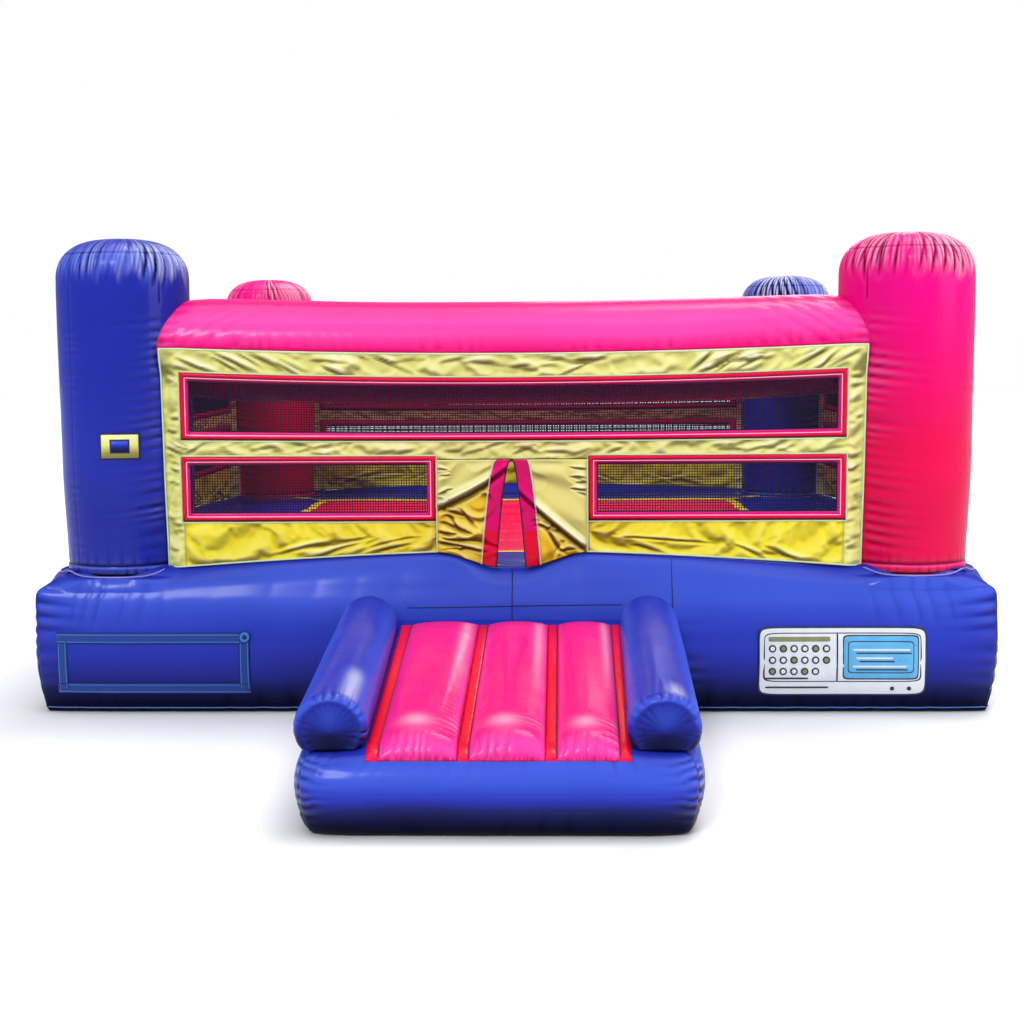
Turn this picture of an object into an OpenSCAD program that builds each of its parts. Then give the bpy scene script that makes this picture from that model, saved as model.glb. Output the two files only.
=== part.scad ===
// Inflatable bounce house with low netted walls, an entry ramp and a fan at the back.
// Frame: origin on the ground under the centre of the base, +X right, +Y to the back, +Z up.

/* [Base] */
// Side of the square base
base_w = 4570; // [4300:10:4800]
// Height of the seam round the edge of the base
base_h = 585; // [540:5:600]
// Height of the base's flat top
deck_z = 645; // [620:1:650]
// Thickness that stands for the coated fabric
skin = 5; // [3:0.5:8]
// Thickness of the webs inside the base
web_t = 3; // [2:0.5:5]
// Half side of the red square in the middle of the floor
floor_red_half = 1438; // [1300:2:1450]
// Width of the yellow seams in the floor
floor_seam_w = 60; // [40:2:70]

/* [Columns and beams] */
// Distance from the middle to a column's axis
column_at = 1916; // [1880:2:1930]
// Radius of a column
column_r = 320; // [290:5:330]
// Height of a column's top
column_top = 2280; // [2100:10:2400]
// Rise of a column's dome
dome_rise = 170; // [120:5:220]
// Radius of a beam
beam_r = 250; // [200:5:260]
// Height of a beam's axis
beam_z = 1745; // [1700:5:1800]

/* [Walls] */
// Height of a wall's top edge, on the outermost line of the beam
wall_top = 1744; // [1700:2:1780]
// Half length of a wall
wall_half = 1675; // [1640:5:1680]
// Half length of a window inside its binding
window_half = 1545; // [1500:5:1560]
// Width of the binding round a window
binding_w = 45; // [30:1:55]
// Lower edge of the low windows, inside the binding
low_window_z0 = 955; // [930:5:980]
// Upper edge of the low windows, inside the binding
low_window_z1 = 1180; // [1160:5:1190]
// Lower edge of the high window, inside the binding
high_window_z0 = 1350; // [1340:5:1370]
// Upper edge of the high window, inside the binding
high_window_z1 = 1585; // [1560:5:1600]

/* [Entry] */
// Height of the top of the slit between the entry flaps
slit_top = 1200; // [1190:1:1205]
// Half width of the entry at its foot
entry_half = 365; // [330:5:370]
// Half width that the slit stands open at its foot
slit_open = 60; // [40:2:80]
// Width of the red band along the slit
band_w = 75; // [60:1:85]

/* [Ramp] */
// Farthest point of the ramp in front of the middle
ramp_front = 4160; // [4000:10:4300]
// Half width of the ramp
ramp_half = 720; // [680:10:760]
// Height of the ramp at its front
ramp_low = 290; // [250:5:320]
// Height of the ramp where it meets the base
ramp_high = 440; // [400:5:480]
// Radius of a side bolster
bolster_r = 140; // [120:2:145]
// Height of a ramp channel above the ramp
channel_rise = 60; // [40:2:70]

/* [Anchors] */
// Centre line radius of an anchor ring's bow
ring_r = 34; // [30:1:40]
// Radius of an anchor ring's wire
ring_wire_r = 4.5; // [4:0.5:6]
// Height of an anchor ring's bar above the ground
ring_z = 150; // [120:5:200]
// Distance from the middle of a side to an anchor
anchor_at = 1400; // [1300:10:1500]

/* [Fan] */
// Sideways place of the fan and the inflation tube
fan_x = 900; // [700:10:1100]
// Radius of the fan's scroll
scroll_r = 185; // [170:5:190]
// Half width of the scroll
scroll_half = 105; // [90:1:115]
// Radius of the impeller
impeller_r = 122; // [110:1:130]
// Number of impeller blades
blades = 24; // [16:1:30]
// Radius of the inflation tube
tube_r = 102; // [101:0.5:110]

/* [Hidden] */
$fn = 96;
gap = 1;
half = base_w / 2;
wall_y = half - 118;
wall_foot = deck_z + gap;
panel_t = 5;
binding_t = 4;
net_t = 2;
net_lap = 15;
trim_t = 3;
flap_y = wall_y + 15;
flap_t = 6;
flap_foot = 675;
entry_foot = 670;
hinge_clear = 8;
floor_t = 10;
port_r = 150;
beam_port_r = 120;
ramp_port_r = 80;
web_pitch = 457;
shoulder = 85;
toe = 26;
column_tops_z = column_top - dome_rise;
column_corners = [[-1, -1], [1, -1], [-1, 1], [1, 1]];
ramp_back = half + gap + gap;
ramp_edge = 40;
ramp_slope = (ramp_high - ramp_low) / (ramp_front - ramp_edge - ramp_back);
ramp_angle = atan(ramp_slope);
bolster_front = [565, -3990, 360];
bolster_back = [645, -2440, 425];
channel_edges = [-420, -140, 165, 420];
channel_front = -4085;
channel_back = -2400;
scroll_y = ramp_front - scroll_r;
scroll_z = 215;
tube_z = 125;
nozzle_r = 95;
nozzle_y = scroll_y - 330;
nozzle_root = scroll_y - 200;
cover_t = 6;
cover_x = fan_x + scroll_half + gap;
intake_r = 90;
motor_r = 70;
motor_l = 140;
motor_x = fan_x - scroll_half - gap - motor_l;
shaft_r = 6;
screw_r = 3;
ear_r = 10;
screw_angles = [20, 70, 125, 335];
strap_w = 44;
ring_off = 15;
anchors = [[-1, -anchor_at, 90], [-1, anchor_at, 90], [1, -anchor_at, 90],
           [1, anchor_at, 90], [1, -anchor_at, 0], [1, anchor_at, 0]];
zip_y0 = 500;
zip_l = 500;
zip_z = 330;
switch_x = motor_x + 60;
switch_z = scroll_z + motor_r + 30;

// ---------- helpers ----------

// A flat piece drawn in (x, z) and raised outward from y = -near to y = -far
module upright(near, far) {
    translate([0, -near, 0]) rotate([90, 0, 0]) linear_extrude(far - near) children();
}

// The same piece on one of the four sides: 0 front, 1 right, 2 back, 3 left
module on_side(side) {
    rotate([0, 0, 90 * side]) children();
}

module rect(x0, x1, z0, z1) {
    translate([x0, z0]) square([x1 - x0, z1 - z0]);
}

module tube_x(r, x0, x1) {
    translate([x0, 0, 0]) rotate([0, 90, 0]) cylinder(r = r, h = x1 - x0);
}

module tube_y(r, y0, y1) {
    translate([0, y0, 0]) rotate([-90, 0, 0]) cylinder(r = r, h = y1 - y0);
}

// ---------- base and floor ----------

// Section of the base, tucked in at the toe and rounded over at the shoulder
module base_section(inset) {
    polygon([[-half + toe + inset, inset], [half - toe - inset, inset],
             [half - inset, 80], [half - inset, base_h],
             [half - shoulder / 2 - inset, deck_z - 18 - inset / 2],
             [half - shoulder - inset, deck_z - inset],
             [-half + shoulder + inset, deck_z - inset],
             [-half + shoulder / 2 + inset, deck_z - 18 - inset / 2],
             [-half + inset, base_h], [-half + inset, 80]]);
}

module base_block(inset) {
    intersection() {
        upright(-half + inset, half - inset) base_section(inset);
        rotate([0, 0, 90]) upright(-half + inset, half - inset) base_section(inset);
    }
}

module base_chamber() {
    color("mediumblue") difference() {
        base_block(0);
        base_block(skin);
        for (c = column_corners)
            translate([c[0] * column_at, c[1] * column_at, deck_z - 2 * skin])
                cylinder(r = port_r, h = 4 * skin);
        translate([0, -half, 200]) tube_y(ramp_port_r, -2 * skin, 2 * skin);
        translate([fan_x, half, tube_z]) tube_y(tube_r - skin, -2 * skin, 2 * skin);
    }
}

module base_baffles() {
    web_half = half - shoulder - 40;
    color("gainsboro") for (i = [-4:4])
        translate([0, i * web_pitch + web_t / 2, 0]) rotate([90, 0, 0]) linear_extrude(web_t) difference() {
            rect(-web_half, web_half, skin + gap, deck_z - skin - gap);
            for (k = [-2:2]) translate([k * 800, deck_z / 2]) circle(r = 110);
        }
}

module floor_sheet(outer, inner) {
    translate([0, 0, deck_z + gap]) linear_extrude(floor_t) difference() {
        square(2 * outer, center = true);
        square(2 * inner, center = true);
    }
}

module floor_red() {
    color("deeppink") translate([0, 0, deck_z + gap]) linear_extrude(floor_t)
        square(2 * floor_red_half, center = true);
}

// Diagonal seams from the border's corners to the columns
module floor_diagonals(w, h, near) {
    for (a = [45:90:315]) rotate([0, 0, a]) translate([near, -w / 2, deck_z + gap])
        cube([sqrt(2) * column_at - near, w, h]);
}

module column_holes() {
    for (c = column_corners) translate([c[0] * column_at, c[1] * column_at, deck_z]) {
        cylinder(r = column_r + 2 * gap, h = 2 * floor_t);
        translate([c[0] * column_r, c[1] * column_r, 0]) cube(2 * column_r, center = true);
    }
}

module floor_yellow_border() {
    color("gold") difference() {
        union() {
            floor_sheet(floor_red_half + floor_seam_w, floor_red_half + gap);
            floor_diagonals(floor_seam_w, floor_t, sqrt(2) * (floor_red_half + floor_seam_w / 2));
        }
        column_holes();
    }
}

module floor_blue() {
    color("mediumblue") difference() {
        floor_sheet(wall_y - 12, floor_red_half + floor_seam_w + gap);
        translate([0, 0, -gap]) floor_diagonals(floor_seam_w + 2 * gap, 3 * floor_t, floor_red_half);
        column_holes();
    }
}

// ---------- columns and beams ----------

// Profile of a column: straight side, then an elliptical dome in steps
function dome(r, rise, z) = [for (a = [0:7.5:90]) [a == 90 ? 0 : r * cos(a), z + rise * sin(a)]];

module column_solid(r, foot, rise) {
    rotate_extrude() polygon(concat([[0, foot], [r, foot]], dome(r, rise, column_tops_z)));
}

module column(c) {
    translate([c[0] * column_at, c[1] * column_at, 0]) difference() {
        column_solid(column_r, wall_foot, dome_rise);
        column_solid(column_r - skin, wall_foot - gap, dome_rise - skin);
        translate([0, 0, beam_z]) scale([-c[0], 1, 1]) tube_x(beam_port_r, 0, column_r + skin);
        translate([0, 0, beam_z]) scale([1, -c[1], 1]) tube_y(beam_port_r, 0, column_r + skin);
    }
}

module column_front_left() { color("mediumblue") column(column_corners[0]); }
module column_front_right() { color("deeppink") column(column_corners[1]); }
module column_back_left() { color("deeppink") column(column_corners[2]); }
module column_back_right() { color("mediumblue") column(column_corners[3]); }

module beam(side) {
    on_side(side) difference() {
        translate([0, -column_at, beam_z]) tube_x(beam_r, -column_at + 60, column_at - 60);
        translate([0, -column_at, beam_z]) tube_x(beam_r - skin, -column_at, column_at);
        for (s = [-1, 1]) translate([s * column_at, -column_at, beam_z - 2 * beam_r])
            cylinder(r = column_r + 2 * gap, h = 4 * beam_r);
    }
}

module beam_front() { color("deeppink") beam(0); }
module beam_right() { color("deeppink") beam(1); }
module beam_back() { color("deeppink") beam(2); }
module beam_left() { color("deeppink") beam(3); }

// ---------- walls ----------

// Windows as [x0, x1, z0, z1] inside their bindings; the front has two low ones beside the entry
high_window = [-window_half, window_half, high_window_z0, high_window_z1];
low_window = [-window_half, window_half, low_window_z0, low_window_z1];
entry_edge = entry_half + binding_w;
front_windows = [high_window,
                 [-window_half, -entry_edge, low_window_z0, low_window_z1],
                 [entry_edge, window_half, low_window_z0, low_window_z1]];
plain_windows = [high_window, low_window];

module window(w, grow) {
    rect(w[0] - grow, w[1] + grow, w[2] - grow, w[3] + grow);
}

// Triangle below the two folds that run from the slit's top to the feet of the entry
module entry_triangle(grow) {
    fold = atan(entry_half / (slit_top - entry_foot));
    polygon([[0, slit_top + grow / sin(fold)],
             [-entry_half - grow / cos(fold), entry_foot],
             [entry_half + grow / cos(fold), entry_foot]]);
}

module wall(windows, has_entry) {
    upright(wall_y + gap, wall_y + gap + panel_t) difference() {
        rect(-wall_half, wall_half, wall_foot, wall_top);
        for (w = windows) window(w, binding_w / 2);
        if (has_entry) entry_triangle(hinge_clear);
    }
}

module net(windows) {
    upright(wall_y - net_t - gap, wall_y - gap) for (w = windows) window(w, net_lap + binding_w / 2);
}

module binding(windows) {
    near = wall_y + 2 * gap + panel_t;
    upright(near, near + binding_t) for (w = windows) difference() {
        window(w, binding_w);
        window(w, 0);
    }
}

// Band along both edges of the slit, from the slit's edge outward
module slit_band() {
    for (s = [-1, 1]) polygon([[s * 3, slit_top - 4], [s * (3 + band_w), slit_top - 4],
                               [s * (slit_open + band_w), flap_foot], [s * slit_open, flap_foot]]);
}

module wall_front() { color("khaki") wall(front_windows, true); }
module wall_right() { color("khaki") on_side(1) wall(plain_windows, false); }
module wall_back() { color("khaki") on_side(2) wall(plain_windows, false); }
module wall_left() { color("khaki") on_side(3) wall(plain_windows, false); }

module net_front() { color("midnightblue") net(front_windows); }
module net_right() { color("midnightblue") on_side(1) net(plain_windows); }
module net_back() { color("midnightblue") on_side(2) net(plain_windows); }
module net_left() { color("midnightblue") on_side(3) net(plain_windows); }

module binding_front() {
    near = wall_y + 2 * gap + panel_t;
    color("crimson") {
        binding(front_windows);
        upright(near, near + binding_t) difference() {
            slit_band();
            entry_triangle(hinge_clear + gap);
        }
    }
}
module binding_right() { color("crimson") on_side(1) binding(plain_windows); }
module binding_back() { color("crimson") on_side(2) binding(plain_windows); }
module binding_left() { color("crimson") on_side(3) binding(plain_windows); }

// ---------- entry flaps, each hinged on the fold from the slit's top to its outer foot ----------

module flap_outline(s) {
    intersection() {
        polygon([[s * 3, slit_top], [s * slit_open, flap_foot],
                 [s * entry_half * 1.2, flap_foot], [s * entry_half * 1.2, slit_top]]);
        entry_triangle(-4);
    }
}

module flap(s) {
    upright(flap_y - flap_t / 2, flap_y + flap_t / 2) flap_outline(s);
}

module flap_band(s) {
    near = flap_y + flap_t / 2 + gap / 2;
    upright(near, near + trim_t) intersection() {
        flap_outline(s);
        slit_band();
    }
}

module entry_flap_left() { color("gold") flap(-1); }
module entry_flap_right() { color("gold") flap(1); }
module flap_band_left() { color("crimson") flap_band(-1); }
module flap_band_right() { color("crimson") flap_band(1); }

// ---------- ramp ----------

module ramp_block(inset) {
    rotate([0, 0, 90]) rotate([90, 0, 0])
        translate([0, 0, -ramp_half + inset]) linear_extrude(2 * (ramp_half - inset))
            polygon([[-ramp_front + 14 + inset, inset], [-ramp_front + inset, ramp_edge],
                     [-ramp_front + inset, ramp_low - ramp_edge],
                     [-ramp_front + ramp_edge + inset / 2, ramp_low - inset],
                     [-ramp_back - inset, ramp_high - inset], [-ramp_back - inset, inset]]);
}

module ramp_base() {
    color("mediumblue") difference() {
        ramp_block(0);
        ramp_block(skin);
        translate([0, -half, 200]) tube_y(ramp_port_r, -3 * skin, 0);
    }
}

// Places children on the ramp's top sheet: local +Z stands off the sheet, +Y climbs it
module on_ramp() {
    translate([0, -ramp_front + ramp_edge, ramp_low + gap]) rotate([ramp_angle, 0, 0]) children();
}

// Upper part of a circle: a channel w wide that stands h high
module channel_section(w, h) {
    r = (w * w / 4 + h * h) / (2 * h);
    intersection() {
        translate([0, h - r]) circle(r = r, $fn = 180);
        translate([-w / 2, 0]) square([w, h]);
    }
}

module ramp_channel(i) {
    x0 = channel_edges[i] + 2;
    x1 = channel_edges[i + 1] - 2;
    l = channel_back - channel_front;
    start = channel_front + ramp_front - ramp_edge;
    color("deeppink") on_ramp() translate([(x0 + x1) / 2, start, 0]) difference() {
        translate([0, l, 0]) rotate([90, 0, 0]) linear_extrude(l) channel_section(x1 - x0, channel_rise);
        translate([0, l - skin, skin]) rotate([90, 0, 0]) linear_extrude(l - 2 * skin)
            channel_section(x1 - x0 - 10 * skin, channel_rise - 2 * skin);
    }
}

module ramp_channel_left() { ramp_channel(0); }
module ramp_channel_middle() { ramp_channel(1); }
module ramp_channel_right() { ramp_channel(2); }

// Round tube with two ball ends between two points
module capsule(a, b, r) {
    d = b - a;
    l = norm(d);
    translate(a) rotate([0, acos(d[2] / l), atan2(d[1], d[0])]) {
        cylinder(r = r, h = l);
        sphere(r = r);
        translate([0, 0, l]) sphere(r = r);
    }
}

module above_ramp(lift) {
    on_ramp() translate([-1000, -200, lift]) cube([2000, 2300, 600]);
}

module ramp_bolster(s) {
    a = [s * bolster_front[0], bolster_front[1], bolster_front[2]];
    b = [s * bolster_back[0], bolster_back[1], bolster_back[2]];
    color("mediumblue") difference() {
        intersection() {
            capsule(a, b, bolster_r);
            above_ramp(gap);
        }
        intersection() {
            capsule(a, b, bolster_r - skin);
            above_ramp(gap + skin);
        }
    }
}

module ramp_bolster_left() { ramp_bolster(-1); }
module ramp_bolster_right() { ramp_bolster(1); }

// ---------- strips, sign and patch ----------

module banner_strips() {
    color("steelblue") upright(half + gap, half + gap + trim_t) difference() {
        rect(-2180, -1250, 100, 395);
        rect(-2125, -1305, 155, 340);
    }
}

module sign_panel() {
    near = half + gap;
    color("whitesmoke") {
        upright(near, near + trim_t) rect(1160, 1950, 90, 420);
        upright(near + trim_t, near + 2 * trim_t) {
            rect(1530, 1920, 185, 390);
            for (i = [0:5], k = [0:2]) translate([1205 + 52 * i, 240 + 60 * k]) circle(r = 16);
            rect(1190, 1290, 115, 135);
        }
    }
}

module column_patch() {
    color("gold") translate([-column_at, -column_at, 1220]) rotate([0, 0, -98])
        rotate_extrude(angle = 33) translate([column_r + gap, 0]) square([trim_t, 120]);
}

// ---------- anchors ----------

// Places children at an anchor: local -Y points out of the base's side, the ring's bar lies along X
module at_anchor(i) {
    a = anchors[i];
    rotate([0, 0, a[2] == 0 ? 180 : 90 * a[0]]) translate([a[2] == 0 ? -a[1] : a[0] * a[1], -half, ring_z])
        children();
}

module anchor_patches() {
    color("mediumblue") for (i = [0:5]) at_anchor(i)
        translate([-90, -gap - trim_t, -90]) cube([180, trim_t, 180]);
}

module anchor_straps() {
    loop_r = 8;
    color("dimgray") for (i = [0:5]) at_anchor(i) difference() {
        union() {
            translate([-strap_w / 2, -loop_r, 0]) cube([strap_w, 3, 75]);
            translate([0, -ring_off, 0]) tube_x(loop_r, -strap_w / 2, strap_w / 2);
        }
        translate([0, -ring_off, 0]) tube_x(ring_wire_r + 0.7, -strap_w, strap_w);
    }
}

module anchor_ring(i) {
    color("silver") at_anchor(i) translate([0, -ring_off, 0]) {
        tube_x(ring_wire_r, -ring_r, ring_r);
        rotate([90, 180, 0]) rotate_extrude(angle = 180) translate([ring_r, 0]) circle(r = ring_wire_r);
        for (s = [-1, 1]) translate([s * ring_r, 0, 0]) sphere(r = ring_wire_r);
    }
}

module anchor_ring_1() { anchor_ring(0); }
module anchor_ring_2() { anchor_ring(1); }
module anchor_ring_3() { anchor_ring(2); }
module anchor_ring_4() { anchor_ring(3); }
module anchor_ring_5() { anchor_ring(4); }
module anchor_ring_6() { anchor_ring(5); }

// ---------- inflation tube and deflation zip ----------

module inflation_tube() {
    color("mediumblue") translate([fan_x, 0, tube_z]) difference() {
        tube_y(tube_r, half + gap, nozzle_y + 70);
        tube_y(tube_r - skin, half, nozzle_y + 80);
    }
}

module tube_strap() {
    color("black") translate([fan_x, nozzle_y + 20, tube_z]) {
        difference() {
            tube_y(tube_r + gap + trim_t, 0, 38);
            tube_y(tube_r + gap, -5, 43);
        }
        translate([-22, 4, tube_r + gap + trim_t - 1]) cube([44, 30, 7]);
    }
}

module zip_tape() {
    color("midnightblue") translate([-half - gap - 2, zip_y0, zip_z - 22]) cube([2, zip_l, 44]);
}

module zip_slider() {
    x = -half - gap - 2 - 0.5;
    color("silver") {
        translate([x - 6, zip_y0 + 20, zip_z - 7]) cube([6, 18, 14]);
        translate([x - 5, zip_y0 + 25, zip_z - 40]) cube([3, 8, 34]);
    }
}

// ---------- fan ----------

module scroll_outline(inset) {
    translate([scroll_y, scroll_z]) circle(r = scroll_r - inset);
    translate([nozzle_root + inset, scroll_z - scroll_r + inset])
        square([scroll_y - nozzle_root, scroll_r + 5 - 2 * inset]);
}

// Extrudes a (y, z) outline from x0 to x1
module slab_x(x0, x1) {
    translate([x0, 0, 0]) rotate([90, 0, 90]) linear_extrude(x1 - x0) children();
}

module screw_places() {
    for (a = screw_angles)
        translate([scroll_y + (scroll_r + ear_r - 3) * cos(a), scroll_z + (scroll_r + ear_r - 3) * sin(a)])
            children();
}

module fan_housing() {
    color("darkorange") difference() {
        union() {
            slab_x(fan_x - scroll_half, fan_x + scroll_half) scroll_outline(0);
            slab_x(fan_x + scroll_half - 30, fan_x + scroll_half) screw_places() circle(r = ear_r);
            translate([fan_x, 0, tube_z]) tube_y(nozzle_r, nozzle_y, nozzle_root + 10);
        }
        slab_x(fan_x - scroll_half + 4, fan_x + scroll_half + 5) scroll_outline(4);
        translate([fan_x, 0, tube_z]) tube_y(nozzle_r - 4, nozzle_y - 5, nozzle_root + 20);
        translate([0, scroll_y, scroll_z]) tube_x(2 * shaft_r, fan_x - 2 * scroll_half, fan_x);
        slab_x(fan_x + scroll_half - 25, fan_x + scroll_half + 1) screw_places() circle(r = screw_r);
    }
}

module fan_cover() {
    color("darkorange") slab_x(cover_x, cover_x + cover_t) difference() {
        union() {
            scroll_outline(0);
            screw_places() circle(r = ear_r);
        }
        translate([scroll_y, scroll_z]) circle(r = intake_r);
        screw_places() circle(r = screw_r + 0.3);
    }
}

module fan_grille() {
    x0 = cover_x + cover_t + gap;
    color("dimgray") slab_x(x0, x0 + 4) translate([scroll_y, scroll_z]) {
        for (r = [20:18:110]) difference() {
            circle(r = r);
            circle(r = r - 4);
        }
        for (a = [0:45:135]) rotate(a) square([6, 214], center = true);
    }
}

module fan_impeller() {
    x0 = fan_x - scroll_half + 14;
    x1 = fan_x + scroll_half - 12;
    color("lightgray") {
        translate([0, scroll_y, scroll_z]) {
            tube_x(impeller_r, x0, x0 + 3);
            tube_x(24, x0, x0 + 40);
            tube_x(shaft_r, motor_x + motor_l - 40, x0 + 1);
            difference() {
                tube_x(impeller_r, x1 - 3, x1);
                tube_x(impeller_r - 26, x1 - 10, x1 + 10);
            }
        }
        slab_x(x0 + 1, x1 - 1) translate([scroll_y, scroll_z]) for (i = [0:blades - 1])
            rotate(i * 360 / blades) translate([impeller_r - 25, 0]) rotate(25) square([23, 2]);
    }
}

module fan_motor() {
    color("dimgray") difference() {
        union() {
            translate([0, scroll_y, scroll_z]) tube_x(motor_r, motor_x, motor_x + motor_l);
            translate([switch_x - 35, scroll_y - 28, scroll_z + motor_r - 12]) cube([70, 56, 42]);
            translate([0, scroll_y + 40, scroll_z - 30]) tube_x(11, motor_x - 22, motor_x + 2);
        }
        translate([0, scroll_y, scroll_z]) tube_x(shaft_r + 0.4, motor_x + motor_l - 42, motor_x + motor_l + 5);
        translate([switch_x - 14, scroll_y - 9, switch_z - 12]) cube([28, 18, 20]);
        translate([0, scroll_y + 40, scroll_z - 30]) tube_x(4.5, motor_x - 30, motor_x - 4);
    }
}

module fan_switch() {
    color("crimson") translate([switch_x, scroll_y + 8, switch_z - 2]) rotate([90, 0, 0])
        linear_extrude(16) polygon([[-12, -3], [12, -3], [12, 6], [0, 3.4], [-12, 6]]);
}

module fan_handle() {
    bar_z = scroll_z + scroll_r + 45;
    color("black") difference() {
        union() {
            translate([fan_x, 0, bar_z]) tube_y(12, scroll_y - 70, scroll_y + 70);
            for (s = [-1, 1]) translate([fan_x, scroll_y + s * 58, scroll_z + 100]) cylinder(r = 11, h = scroll_r - 55);
        }
        translate([0, scroll_y, scroll_z]) tube_x(scroll_r + gap, fan_x - 50, fan_x + 50);
    }
}

module fan_feet() {
    color("black") for (sx = [-1, 1], y = [nozzle_root + 30, scroll_y + 40])
        translate([fan_x + sx * 75, y, 0]) difference() {
            cylinder(r = 22, h = 75);
            translate([-100, 0, scroll_z]) translate([0, scroll_y - y, 0]) tube_x(scroll_r + gap, 0, 200);
            translate([-100, -200, scroll_z - scroll_r - gap]) cube([200, scroll_y - y + 200, 100]);
        }
}

module fan_screws() {
    color("silver") {
        slab_x(cover_x + cover_t + 0.5, cover_x + cover_t + 5) screw_places() circle(r = 6);
        slab_x(cover_x - 18, cover_x + cover_t + 1) screw_places() circle(r = screw_r - 0.2);
    }
}

base_chamber();
base_baffles();
floor_red();
floor_yellow_border();
floor_blue();
column_front_left();
column_front_right();
column_back_left();
column_back_right();
beam_front();
beam_back();
beam_left();
beam_right();
wall_front();
wall_back();
wall_left();
wall_right();
net_front();
net_back();
net_left();
net_right();
binding_front();
binding_back();
binding_left();
binding_right();
entry_flap_left();
entry_flap_right();
flap_band_left();
flap_band_right();
ramp_base();
ramp_channel_left();
ramp_channel_middle();
ramp_channel_right();
ramp_bolster_left();
ramp_bolster_right();
banner_strips();
sign_panel();
column_patch();
anchor_patches();
anchor_straps();
anchor_ring_1();
anchor_ring_2();
anchor_ring_3();
anchor_ring_4();
anchor_ring_5();
anchor_ring_6();
inflation_tube();
tube_strap();
zip_tape();
zip_slider();
fan_housing();
fan_cover();
fan_grille();
fan_impeller();
fan_motor();
fan_switch();
fan_handle();
fan_feet();
fan_screws();
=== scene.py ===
"""Looks for the inflatable bounce house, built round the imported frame."""
import math

import bmesh
import bpy
import numpy as np
from mathutils import Euler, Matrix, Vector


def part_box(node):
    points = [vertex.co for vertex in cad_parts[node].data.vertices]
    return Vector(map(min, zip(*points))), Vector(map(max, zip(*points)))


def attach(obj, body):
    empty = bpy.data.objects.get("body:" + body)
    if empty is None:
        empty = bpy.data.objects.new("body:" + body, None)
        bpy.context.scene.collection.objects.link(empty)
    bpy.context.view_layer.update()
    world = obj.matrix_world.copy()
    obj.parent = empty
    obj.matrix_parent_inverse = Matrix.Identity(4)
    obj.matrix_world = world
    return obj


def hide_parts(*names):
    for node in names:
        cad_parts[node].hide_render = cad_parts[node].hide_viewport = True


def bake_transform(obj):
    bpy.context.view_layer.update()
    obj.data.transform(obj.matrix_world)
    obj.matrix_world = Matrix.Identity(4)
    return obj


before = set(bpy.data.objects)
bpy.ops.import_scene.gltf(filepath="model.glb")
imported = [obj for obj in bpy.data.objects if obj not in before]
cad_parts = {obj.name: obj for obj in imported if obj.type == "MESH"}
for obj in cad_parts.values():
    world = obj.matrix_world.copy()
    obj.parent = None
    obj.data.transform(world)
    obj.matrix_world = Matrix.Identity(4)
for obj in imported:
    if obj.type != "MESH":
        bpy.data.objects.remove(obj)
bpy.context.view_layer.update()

BOUNCER = "bouncer"

# ---------- sizes that come from the frame ----------

def node_box(node):
    lo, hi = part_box(node)
    return np.array(lo), np.array(hi)


HALF = node_box("base_chamber")[1][0]
COLUMN_LO, COLUMN_HI = node_box("column_front_right")
COLUMN_AT = (COLUMN_LO[0] + COLUMN_HI[0]) / 2
COLUMN_R = (COLUMN_HI[0] - COLUMN_LO[0]) / 2
COLUMN_TOP = COLUMN_HI[2]
BEAM_LO, BEAM_HI = node_box("beam_front")
BEAM_R = (BEAM_HI[2] - BEAM_LO[2]) / 2
BEAM_Z = (BEAM_HI[2] + BEAM_LO[2]) / 2
WALL_LO, WALL_HI = node_box("wall_front")
WALL_Y = -(WALL_LO[1] + WALL_HI[1]) / 2
WALL_HALF = WALL_HI[0]

SEAM_Z = 0.585          # height of the base's edge
SHOULDER_RISE = 0.105   # from the edge up to the walls' foot
SHOULDER_Z = SEAM_Z + SHOULDER_RISE
FLOOR_Z = 0.668
WEB_PITCH = 0.457       # distance between the webs that tie the floor down
SAG = 0.034             # how far a beam hangs in its middle


# ---------- numbers that repeat: noise and folds ----------

def ease(a, b, x):
    t = np.clip((x - a) / (b - a), 0, 1)
    return t * t * (3 - 2 * t)


def lattice(i, j, k, seed):
    """One repeatable value from -1 to 1 for every whole-number cell"""
    mask = 0xFFFFFFFF
    h = (i * 73856093 ^ j * 19349663 ^ k * 83492791 ^ seed * 2654435) & mask
    h = ((h ^ (h >> 15)) * 2246822519) & mask
    h = ((h ^ (h >> 13)) * 3266489917) & mask
    return ((h ^ (h >> 16)) & mask) / 2147483648.0 - 1.0


def noise(x, y=0.0, z=0.0, seed=0):
    """Smooth noise from -1 to 1 with features about one unit across"""
    x, y, z = np.broadcast_arrays(np.asarray(x, float), np.asarray(y, float), np.asarray(z, float))
    i, j, k = (np.floor(v).astype(np.int64) for v in (x, y, z))
    u, v, w = ((f * f * (3 - 2 * f)) for f in (x - i, y - j, z - k))
    total = 0.0
    for di, wu in ((0, 1 - u), (1, u)):
        for dj, wv in ((0, 1 - v), (1, v)):
            for dk, ww in ((0, 1 - w), (1, w)):
                total = total + wu * wv * ww * lattice(i + di, j + dj, k + dk, seed)
    return total


def ring_angles(n):
    return np.arange(n) * 2 * np.pi / n


def turn_from(angle, at):
    """How far an angle is past another, from half a turn back to half a turn on"""
    return (angle - at + np.pi) % (2 * np.pi) - np.pi


def gathers(along, pitch, seed):
    """0 in the sharp valleys between gathers and 1 on their round tops, unevenly spaced"""
    phase = along / pitch + 0.55 * noise(along / pitch * 0.55, 3.1, seed=seed)
    return np.abs(np.sin(np.pi * phase)) ** 0.65


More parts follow.
